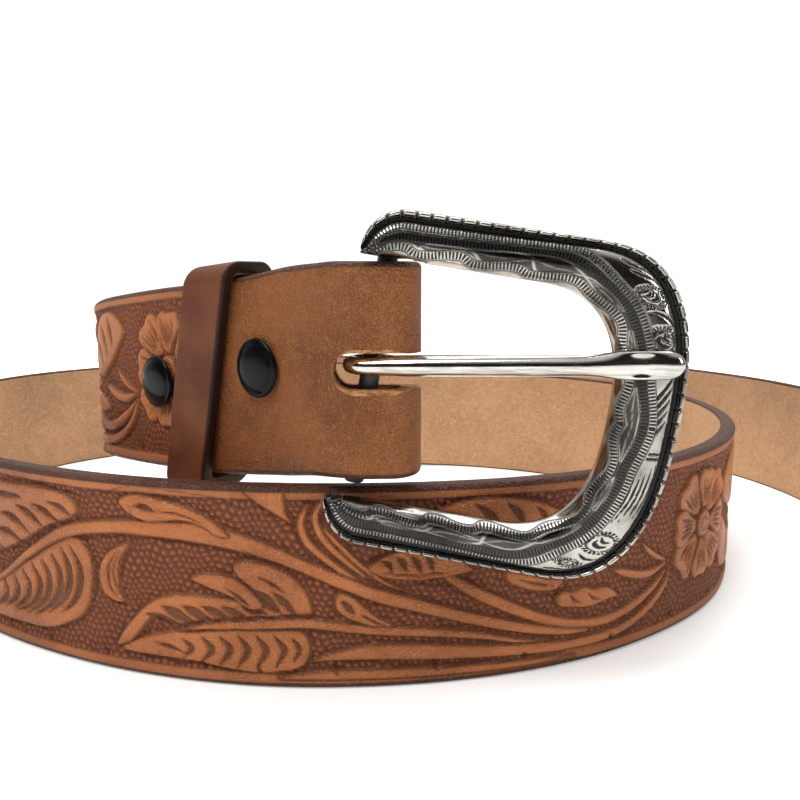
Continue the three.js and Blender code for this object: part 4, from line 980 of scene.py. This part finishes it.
snapPieces = []
for number, (along, above) in enumerate(snaps["places"], 1):
    front, inward = placeOn(along, above)
    rear = front + inward * (2 * strap["thick"] + float(cavityAt(along)))
    for half, place, way, shape in (("cap", front, -inward, capShape), ("stud", rear, inward, studShape)):
        made = turnedPiece(f"snap{half.title()}{number}", place, way, shape, snaps[half + "Radius"],
                           snaps[half + "Height"])
        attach(made, "belt")
        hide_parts(f"snap_{number}_{half}")
        snapPieces.append(made)


# Keeper: a leather loop round both layers, sheared so that its top leans towards the buckle

keeper = dict(
    width=12.0, thick=2.5, place=45.2, headroom=1.2, footroom=1.6, sideGap=0.45, corner=1.4,
    tilt=math.radians(12), edgeRound=0.75, fleshRound=0.3, wobble=0.12,
    edgeInk=(0.95, 0.1), footInk=(3.0, 1.0), longSteps=60, shortSteps=12, faceSteps=24, wall=(1.3, 0.8),
)


def makeKeeper():
    # A rounded rectangle's outline carried by a rounded section, then sheared and laid along the strap
    lean = math.tan(keeper["tilt"])
    half = strap["width"] / 2
    inside = 2 * strap["thick"] + float(cavityAt(keeper["place"])) + 2 * keeper["sideGap"]
    low, high = -half - keeper["footroom"], half + keeper["headroom"]
    r = keeper["corner"]
    quarter = np.linspace(0, math.pi / 2, 12)
    path, normal = [], []
    corners = ((inside / 2 - r, low + r, -math.pi / 2), (inside / 2 - r, high - r, 0),
               (-inside / 2 + r, high - r, math.pi / 2), (-inside / 2 + r, low + r, math.pi))
    for i, (x, y, start) in enumerate(corners):
        nx, ny, nextStart = corners[(i + 1) % 4]
        turn = start + quarter
        rim = np.stack([np.cos(turn), np.sin(turn)], axis=1)
        arc = [x, y] + r * rim
        count = keeper["longSteps"] if i in (0, 2) else keeper["shortSteps"]
        after = np.array([nx, ny]) + r * np.array([math.cos(nextStart), math.sin(nextStart)])
        line = arc[-1] + np.linspace(0, 1, count)[1:-1, None] * (after - arc[-1])
        path += [arc, line]
        normal += [rim, np.repeat(rim[-1:], len(line), axis=0)]
    path, normal = np.vstack(path), np.vstack(normal)
    e, f, w, t = keeper["edgeRound"], keeper["fleshRound"], keeper["width"] / 2, keeper["thick"]
    bend = np.linspace(0, math.pi / 2, 6)
    faces, wall = keeper["faceSteps"], list(keeper["wall"])
    across = np.concatenate([np.linspace(-w + e, w - e, faces), w - e + e * np.sin(bend[1:]),
                             [w, w], w - f + f * np.cos(bend[1:]), np.linspace(w - f, -w + f, 8)[1:],
                             -w + f - f * np.sin(bend[1:]), [-w, -w], -w + e - e * np.cos(bend[1:-1])])
    out = np.concatenate([np.full(faces, t), t - e + e * np.cos(bend[1:]), wall,
                          f - f * np.sin(bend[1:]), np.zeros(7), f - f * np.cos(bend[1:]), wall[::-1],
                          t - e + e * np.sin(bend[1:-1])])
    x = path[:, :1] + normal[:, :1] * out
    y = path[:, 1:] + normal[:, 1:] * out
    z = across + 0 * x
    reach = w + lean * half
    point, _, _, lift = routeAt(keeper["place"] + np.array([-reach, 0, reach]))
    slope = (lift[2] - lift[0]) / (2 * reach)
    ahead = (point[2] - point[0]) / np.linalg.norm(point[2] - point[0])
    inward = np.array([ahead[1], -ahead[0]])
    middle = (point[0] + point[2] + 2 * point[1]) / 4
    middle = middle + inward * (strap["thick"] + cavityAt(keeper["place"]) / 2)
    wobble = keeper["wobble"] * noise(y * 0.16, z * 0.3, 9)
    x = x + wobble * normal[:, :1] * (out > t - 0.01)
    along = -(z + lean * y)
    plan = middle + inward * x[..., None] + ahead * along[..., None]
    up = y - slope * z + lift[1] + half
    piece = loftMesh("keeperLoop", np.concatenate([plan, up[..., None]], axis=-1), closedAlong=True)
    addValues(piece, "edge", stepUp(*(w - x for x in keeper["edgeInk"]), np.abs(z)))
    addValues(piece, "flesh", (out < 0.2) + 0 * x)
    addValues(piece, "foot", stepUp(-half + keeper["footInk"][0], -half - keeper["footInk"][1], y))
    return piece


keeperLoop = makeKeeper()
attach(keeperLoop, "belt")
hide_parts("keeper")


# Cuts through the strap: the tongue's slot, bevelled at both grain faces, and the holes of the tip

slot = dict(
    height=6.3, length=15.2, sag=0.9, flare=0.75, flareDepth=1.3, past=6.0,
    depths=np.array([-3, -0.3, 0.0, 0.35, 0.8, 1.3]),
)


def applyCut(piece, cutter):
    modifier = piece.modifiers.new("cut", "BOOLEAN")
    modifier.object, modifier.operation, modifier.solver = cutter, "DIFFERENCE", "EXACT"
    modifier.material_mode = "TRANSFER"
    with bpy.context.temp_override(object=piece, active_object=piece):
        bpy.ops.object.modifier_apply(modifier=modifier.name)
    bpy.data.objects.remove(cutter)


def slotCutter():
    # A stadium with one round end, carried through the fold and widened near each grain face
    radius, middle = slot["height"] / 2, tonguePlace[2] - slot["sag"]
    right, left = foldPlace[0] + foldRadius + slot["past"], foldPlace[0] + foldRadius - slot["length"]
    front, rear = foldPlace[1], foldPlace[1] + 2 * foldRadius
    depth = slot["depths"]
    places = np.concatenate([front + depth, rear - depth[::-1]])
    flare = slot["flare"] * (1 - np.sqrt((depth.clip(0) / slot["flareDepth"])))
    flare = np.concatenate([flare, flare[::-1]])
    turn = np.linspace(math.pi / 2, 1.5 * math.pi, 25)
    grown = radius + flare[:, None]
    x = np.concatenate([left + radius + grown * np.cos(turn), np.full((len(places), 2), right)], axis=1)
    z = np.concatenate([middle + grown * np.sin(turn), middle - grown, middle + grown], axis=1)
    cutter = loftMesh("slotCutter", np.stack([x, places[:, None] + 0 * x, z], axis=-1))
    cutter.data.materials.append(rawCut)
    return cutter


def holeCutter(number):
    # A round bar through the strap, a little wider at the grain face
    place, inward = placeOn(tipEnd - strap["firstHoleFromTip"] - number * strap["holePitch"])
    steps = np.array([-2.0, -0.2, 0.4, 3.0, 6.0])
    radii = strap["holeRadius"] + strap["holeLip"] * np.array([1, 1, 0, 0, 0])
    cutter = tubeMesh("holeCutter", place + inward * steps[:, None], radii, 40)
    cutter.data.materials.append(rawCut)
    return cutter


# Shader helpers

def addNode(tree, kind, inputs=(), **settings):
    made = tree.nodes.new(kind)
    for key, value in settings.items():
        setattr(made, key, value)
    for key, value in dict(inputs).items():
        if isinstance(value, bpy.types.NodeSocket):
            tree.links.new(value, made.inputs[key])
        else:
            made.inputs[key].default_value = value
    return made


def sums(tree, operation, a, b=0.0, clamp=False):
    return addNode(tree, "ShaderNodeMath", {0: a, 1: b}, operation=operation, use_clamp=clamp).outputs[0]


def times(tree, a, b):
    return sums(tree, "MULTIPLY", a, b)


def objectPlace(tree):
    return addNode(tree, "ShaderNodeTexCoord").outputs["Object"]


def noiseOf(tree, place, scale, detail, roughness=0.5):
    inputs = dict(Vector=place, Scale=scale, Detail=detail, Roughness=roughness)
    return addNode(tree, "ShaderNodeTexNoise", inputs).outputs["Fac"]


def addBump(tree, shader, height, strength, distance):
    bump = addNode(tree, "ShaderNodeBump", dict(Height=height, Strength=strength, Distance=distance))
    tree.links.new(bump.outputs[0], shader["Normal"])


def blendColours(tree, factor, a, b):
    made = addNode(tree, "ShaderNodeMix", {0: factor, 6: a, 7: b}, data_type="RGBA")
    return made.outputs[2]


def ramp(tree, value, low, high, bottom=0.0, top=1.0):
    made = addNode(tree, "ShaderNodeMapRange", {0: value, 1: low, 2: high, 3: bottom, 4: top},
                   interpolation_type="SMOOTHSTEP")
    return made.outputs[0]


def attributeOf(tree, name):
    return addNode(tree, "ShaderNodeAttribute", attribute_name=name).outputs["Fac"]


def fromHex(text):
    # sRGB text to linear numbers
    parts = [int(text[i:i + 2], 16) / 255 for i in (0, 2, 4)]
    return tuple(c / 12.92 if c <= 0.04045 else ((c + 0.055) / 1.055) ** 2.4 for c in parts) + (1.0,)


def makeGroup(name, inputs, outputs):
    group = bpy.data.node_groups.new(name, "ShaderNodeTree")
    for label, start in inputs.items():
        kind = "NodeSocketColor" if isinstance(start, tuple) else "NodeSocketFloat"
        socket = group.interface.new_socket(name=label, in_out="INPUT", socket_type=kind)
        socket.default_value = start
    for label, kind in outputs.items():
        group.interface.new_socket(name=label, in_out="OUTPUT", socket_type=kind)
    return group, group.nodes.new("NodeGroupInput").outputs, group.nodes.new("NodeGroupOutput").inputs


def useGroup(tree, group, **inputs):
    return addNode(tree, "ShaderNodeGroup", inputs, node_tree=group).outputs


def makeMaterial(name, **plain):
    # A material with its Principled shader; plain values go straight on its sockets
    material = bpy.data.materials.new(name)
    material.use_nodes = True
    shader = material.node_tree.nodes["Principled BSDF"]
    for label, value in plain.items():
        shader.inputs[label.replace("_", " ")].default_value = value
    return material, material.node_tree, shader.inputs


# Leather, lacquer and nickel

def makeGrainGroup():
    # Leather grain: small pebbles between thin creases, with patches where they run deeper
    group, given, result = makeGroup(
        "leatherGrain", dict(Pebble=900.0, Patch=45.0, Crease=0.5),
        dict(Height="NodeSocketFloat", Patch="NodeSocketFloat", Speck="NodeSocketFloat"),
    )
    place = objectPlace(group)
    bend = addNode(group, "ShaderNodeTexNoise", dict(Vector=place, Scale=260.0, Detail=2.0)).outputs["Color"]
    moved = addNode(group, "ShaderNodeVectorMath", {0: bend, 1: (0.0022,) * 3}, operation="MULTIPLY")
    moved = addNode(group, "ShaderNodeVectorMath", {0: place, 1: moved.outputs[0]}, operation="ADD")
    cells = addNode(group, "ShaderNodeTexVoronoi", dict(Vector=moved.outputs[0], Scale=given["Pebble"]),
                    feature="DISTANCE_TO_EDGE").outputs["Distance"]
    pebble = ramp(group, cells, 0.0, 0.25)
    patch = ramp(group, noiseOf(group, place, given["Patch"], 4.0, 0.6), 0.35, 0.68)
    fine = noiseOf(group, place, 1800.0, 2.0)
    depth = sums(group, "ADD", times(group, patch, 0.5), 0.5)
    depth = times(group, pebble, times(group, depth, given["Crease"]))
    group.links.new(sums(group, "ADD", depth, times(group, fine, 0.35)), result["Height"])
    group.links.new(patch, result["Patch"])
    group.links.new(ramp(group, noiseOf(group, place, 420.0, 1.0), 0.7, 0.78), result["Speck"])
    return group


grainGroup = makeGrainGroup()
hide = dict(
    plain=fromHex("8d5429"), plainDeep=fromHex("6b3b1c"), raised=fromHex("b56d3c"), ground=fromHex("64331f"),
    cut=fromHex("3a1b10"), edge=fromHex("442519"), flesh=fromHex("d8ab82"), fleshDeep=fromHex("bb8a62"),
    border=fromHex("ac683c"), raw=fromHex("b98558"), rawDeep=fromHex("7d4d2b"), keeper=fromHex("6d3b1f"),
    keeperDeep=fromHex("562b14"), burnt=fromHex("1c0d08"),
    plainPatch=0.5, workedPatch=0.35, dotShare=0.75, cutShare=0.72, speckShare=0.25, edgeShare=0.85,
    napShare=0.5, roughness=0.46, groundRough=0.12, raisedShine=0.14, fleshRough=0.85,
    bump=0.00022, napBump=0.6, plainBump=1.3,
    keeperSpeck=0.4, footShare=0.3, burntShare=0.92, keeperRough=0.42, keeperPatch=0.15, keeperBump=0.45,
)


def makeTooledLeather():
    # Plain or worked tan by the tooled mask, then ground, dots, painted shade in the cuts, specks and edge
    # laid over, flesh last
    material, tree, shader = makeMaterial("tooledLeather", Specular_IOR_Level=0.34)
    grain = useGroup(tree, grainGroup, Pebble=1350.0, Patch=36.0, Crease=0.8)
    ground, cut, raised, dots, tooled, edge, flesh = (
        attributeOf(tree, name) for name in ("ground", "cut", "raised", "dots", "tooled", "edge", "flesh")
    )
    patch = times(tree, grain["Patch"], hide["plainPatch"])
    plain = blendColours(tree, patch, hide["plain"], hide["plainDeep"])
    worked = blendColours(tree, raised, hide["border"], hide["raised"])
    worked = blendColours(tree, ramp(tree, ground, 0.1, 0.8), worked, hide["ground"])
    worked = blendColours(tree, times(tree, grain["Patch"], hide["workedPatch"]), worked, hide["ground"])
    worked = blendColours(tree, times(tree, dots, hide["dotShare"]), worked, hide["raised"])
    colour = blendColours(tree, tooled, plain, worked)
    # Painted shade in the cut lines and along the raised forms' outlines; the same dark colour also gives the
    # real specks below
    dark = times(tree, ramp(tree, cut, 0.15, 1.0), times(tree, tooled, hide["cutShare"]))
    colour = blendColours(tree, dark, colour, hide["cut"])
    colour = blendColours(tree, times(tree, grain["Speck"], hide["speckShare"]), colour, hide["cut"])
    colour = blendColours(tree, ramp(tree, edge, 0.1, 0.95, 0.0, hide["edgeShare"]), colour, hide["edge"])
    nap = noiseOf(tree, objectPlace(tree), 700.0, 5.0, 0.7)
    deep = ramp(tree, nap, 0.35, 0.7, 0.0, hide["napShare"])
    back = blendColours(tree, deep, hide["flesh"], hide["fleshDeep"])
    colour = blendColours(tree, ramp(tree, flesh, 0.2, 0.9), colour, back)
    tree.links.new(colour, shader["Base Color"])
    shine = sums(tree, "ADD", times(tree, ramp(tree, ground, 0, 1), hide["groundRough"]), hide["roughness"])
    shine = sums(tree, "SUBTRACT", shine, times(tree, raised, hide["raisedShine"]))
    shine = sums(tree, "MAXIMUM", shine, times(tree, flesh, hide["fleshRough"]))
    tree.links.new(shine, shader["Roughness"])
    height = sums(tree, "ADD", grain["Height"], times(tree, nap, hide["napBump"]))
    coarse = times(tree, sums(tree, "SUBTRACT", 1.0, tooled, clamp=True), hide["plainBump"] * hide["bump"])
    reach = sums(tree, "ADD", coarse, hide["bump"])
    addBump(tree, shader, height, 1.0, reach)
    return material


def makeRawCut():
    # Pale fibrous leather where a knife went through, mottled darker by fibre noise
    material, tree, shader = makeMaterial("rawCut", Roughness=0.85, Specular_IOR_Level=0.25)
    fibre = noiseOf(tree, objectPlace(tree), 900.0, 4.0)
    # Fibre mottling between the two raw colours, both kept dark as painted shade for the slot's shaded inside
    colour = blendColours(tree, ramp(tree, fibre, 0.35, 0.7), hide["raw"], hide["rawDeep"])
    tree.links.new(colour, shader["Base Color"])
    addBump(tree, shader, fibre, 0.6, hide["bump"])
    return material


def makeKeeperLeather():
    # Plain smooth leather, dark and burnished along both edges, with fine scratches
    material, tree, shader = makeMaterial("keeperLeather", Specular_IOR_Level=0.3)
    grain = useGroup(tree, grainGroup, Pebble=1100.0, Patch=60.0, Crease=0.35)
    colour = blendColours(tree, grain["Patch"], hide["keeper"], hide["keeperDeep"])
    colour = blendColours(tree, times(tree, grain["Speck"], hide["keeperSpeck"]), colour, hide["cut"])
    foot, edge = (attributeOf(tree, name) for name in ("foot", "edge"))
    # Darker towards the loop's foot
    colour = blendColours(tree, times(tree, foot, hide["footShare"]), colour, hide["keeperDeep"])
    colour = blendColours(tree, ramp(tree, edge, 0.2, 0.95, 0.0, hide["burntShare"]), colour, hide["burnt"])
    colour = blendColours(tree, attributeOf(tree, "flesh"), colour, hide["fleshDeep"])
    tree.links.new(colour, shader["Base Color"])
    rough = sums(tree, "ADD", times(tree, grain["Patch"], hide["keeperPatch"]), hide["keeperRough"])
    tree.links.new(rough, shader["Roughness"])
    addBump(tree, shader, grain["Height"], hide["keeperBump"], hide["bump"])
    return material


def makeLacquer():
    # Black lacquer with faint rubbing
    material, tree, shader = makeMaterial("blackLacquer", Specular_IOR_Level=0.12)
    rub = noiseOf(tree, objectPlace(tree), 600.0, 4.0)
    tree.links.new(blendColours(tree, rub, fromHex("060707"), fromHex("101112")), shader["Base Color"])
    tree.links.new(ramp(tree, rub, 0.3, 0.75, 0.1, 0.2), shader["Roughness"])
    return material


def makeNickel():
    # Polished nickel with long faint scratches and small dull spots
    material, tree, shader = makeMaterial("brightNickel", Metallic=1.0)
    stretch = dict(Vector=objectPlace(tree), Scale=(120.0, 900.0, 2400.0))
    scratch = noiseOf(tree, addNode(tree, "ShaderNodeMapping", stretch).outputs[0], 1.0, 3.0)
    colour = blendColours(tree, ramp(tree, scratch, 0.4, 0.7), fromHex("dedad3"), fromHex("b9b5ad"))
    tree.links.new(colour, shader["Base Color"])
    tree.links.new(ramp(tree, scratch, 0.35, 0.75, 0.07, 0.2), shader["Roughness"])
    addBump(tree, shader, scratch, 0.2, 0.00004)
    return material


tooledLeather = makeTooledLeather()
rawCut = makeRawCut()
keeperLoop.data.materials.append(makeKeeperLeather())
tongueProng.data.materials.append(makeNickel())
lacquer = makeLacquer()
for piece in snapPieces:
    piece.data.materials.append(lacquer)
for piece in strapPieces.values():
    piece.data.materials.append(tooledLeather)
applyCut(strapPieces["strapFold"], slotCutter())
for number in range(strap["holeCount"]):
    applyCut(strapPieces["strapTip"], holeCutter(number))
print("leather ready")


# Aged silver with black in its cuts

silver = dict(
    bright=fromHex("c9c5bc"), worn=fromHex("807d76"), black=fromHex("070707"), roughness=0.1, bump=0.0001,
    darkening=0.84, sunkDull=0.9, sunkRough=0.25, scratchRough=0.1, scratchBump=0.02, bumpStrength=0.7,
    barFrom=(-0.5, 0.1), rowFrom=(0.08, -0.12), lineFrom=(0.13, 0.05), linePlace=0.14, lineShare=0.8,
)


def makeAgedSilver():
    # Black where the largest of inked, recess and the rows is 1; a row is sin(2 pi run / pitch) in two edges
    material, tree, shader = makeMaterial("agedSilver", Specular_IOR_Level=0.5)
    inked, recess, shaded = (attributeOf(tree, name) for name in ("inked", "recess", "shaded"))
    sunk = sums(tree, "MAXIMUM", ramp(tree, inked, 0.25, 0.7), recess)
    bar = engraving["barLength"]
    for name in ("One", "Two", "Wave"):
        row = sums(tree, "ABSOLUTE", attributeOf(tree, "row" + name))
        beat = times(tree, attributeOf(tree, "run" + name), 2 * math.pi / buckle["hatchPitch"])
        bars = ramp(tree, sums(tree, "SINE", beat), *silver["barFrom"])
        inRow = ramp(tree, row, *(bar + x for x in silver["rowFrom"]))
        fromLine = sums(tree, "ABSOLUTE", sums(tree, "SUBTRACT", row, bar + silver["linePlace"]))
        edge = ramp(tree, fromLine, *silver["lineFrom"])
        marked = sums(tree, "MAXIMUM", times(tree, inRow, bars), times(tree, edge, silver["lineShare"]))
        sunk = sums(tree, "MAXIMUM", sunk, marked)
    place = objectPlace(tree)
    cloud = noiseOf(tree, place, 140.0, 4.0)
    colour = blendColours(tree, ramp(tree, cloud, 0.35, 0.7), silver["bright"], silver["worn"])
    colour = blendColours(tree, times(tree, shaded, silver["darkening"]), colour, silver["black"])
    colour = blendColours(tree, sunk, colour, silver["black"])
    tree.links.new(colour, shader["Base Color"])
    tree.links.new(sums(tree, "SUBTRACT", 1.0, times(tree, sunk, silver["sunkDull"])), shader["Metallic"])
    scratch = noiseOf(tree, place, 900.0, 3.0)
    rough = sums(tree, "ADD", times(tree, scratch, silver["scratchRough"]), silver["roughness"])
    tree.links.new(sums(tree, "ADD", rough, times(tree, sunk, silver["sunkRough"])), shader["Roughness"])
    height = sums(tree, "SUBTRACT", times(tree, scratch, silver["scratchBump"]), sunk)
    addBump(tree, shader, height, silver["bumpStrength"], silver["bump"])
    return material


buckleFrame.data.materials.clear()
buckleFrame.data.materials.append(makeAgedSilver())
print("silver ready")


# Studio: a white floor, soft light and a pale room that is darker towards the viewer

studio = dict(
    floorSize=4.0, floor=fromHex("f4f3f1"), glow=(0.1, 0.5, 0.25, 1.0), glossyLoss=0.9, white=1.2,
    above=(0.45, 0.95, 0.02, 0.9), behind=(-0.1, 0.5, 0.0, 0.9),
    cameraPlace=(5.616, -240.988, 74.69), cameraDown=9.19, focal=760.0, picture=800.0, sensor=36.0,
)
# Name, place, target, width and height in metres, and power in watts
lights = (
    ("keyLight", (-0.35, -0.45, 0.75), (0, -0.05, 0.03), (0.4, 0.4), 4.8),
    ("fillLight", (0.65, -0.5, 0.35), (0, -0.05, 0.03), (0.25, 0.4), 1.2),
    ("topLight", (0.0, 0.25, 0.9), (0, 0, 0), (0.9, 0.6), 6.0),
)


def makeFloor():
    # A square that glows more with distance, so that its far part is white, and less in reflections
    half = 1000 * studio["floorSize"] / 2
    corners = np.array([(-half, -half, 0), (half, -half, 0), (half, half, 0), (-half, half, 0)], float)
    floor = writeMesh("floor", corners, [np.array([[0, 1, 2, 3]])])
    material, tree, shader = makeMaterial("floorPaint", Base_Color=studio["floor"], Roughness=0.9)
    far = addNode(tree, "ShaderNodeVectorMath", {0: objectPlace(tree)}, operation="LENGTH").outputs["Value"]
    shader["Emission Color"].default_value = (1, 1, 1, 1)
    glossy = addNode(tree, "ShaderNodeLightPath").outputs["Is Glossy Ray"]
    seen = sums(tree, "SUBTRACT", 1.0, times(tree, glossy, studio["glossyLoss"]))
    glow = ramp(tree, far, *studio["glow"])
    tree.links.new(times(tree, glow, seen), shader["Emission Strength"])
    floor.data.materials.append(material)


def makeCamera():
    data = bpy.data.cameras.new("camera")
    data.sensor_width = studio["sensor"]
    data.lens = studio["sensor"] * studio["focal"] / studio["picture"]
    camera = bpy.data.objects.new("camera", data)
    camera.location = [x / 1000 for x in studio["cameraPlace"]]
    camera.rotation_euler = (math.radians(90 - studio["cameraDown"]), 0, 0)
    bpy.context.collection.objects.link(camera)
    bpy.context.scene.camera = camera


def makeLight(name, place, target, size, power):
    # A rectangle at place that faces target
    data = bpy.data.lights.new(name, "AREA")
    data.shape, data.size, data.size_y = "RECTANGLE", size[0], size[1]
    data.energy = power
    light = bpy.data.objects.new(name, data)
    x, y, z = np.array(target, float) - np.array(place, float)
    light.location = place
    light.rotation_euler = (math.atan2(math.hypot(x, y), -z), 0, math.atan2(y, x) - math.pi / 2)
    bpy.context.collection.objects.link(light)


def makeRoom():
    # White to the camera; to the rest bright overhead and behind the belt, dark towards the viewer
    world = bpy.data.worlds.new("room")
    bpy.context.scene.world = world
    world.use_nodes = True
    tree = world.node_tree
    direction = addNode(tree, "ShaderNodeTexCoord").outputs["Generated"]
    parts = addNode(tree, "ShaderNodeSeparateXYZ", dict(Vector=direction)).outputs
    behind = ramp(tree, parts["Y"], *studio["behind"])
    glow = sums(tree, "MAXIMUM", ramp(tree, parts["Z"], *studio["above"]), behind)
    shade = addNode(tree, "ShaderNodeBackground", dict(Strength=glow))
    white = addNode(tree, "ShaderNodeBackground", dict(Color=(1, 1, 1, 1), Strength=studio["white"]))
    seen = addNode(tree, "ShaderNodeLightPath").outputs["Is Camera Ray"]
    mixed = addNode(tree, "ShaderNodeMixShader", {0: seen, 1: shade.outputs[0], 2: white.outputs[0]})
    tree.links.new(mixed.outputs[0], tree.nodes["World Output"].inputs[0])


makeFloor()
makeCamera()
makeRoom()
for light in lights:
    makeLight(*light)
bpy.context.scene.view_settings.view_transform = "Standard"
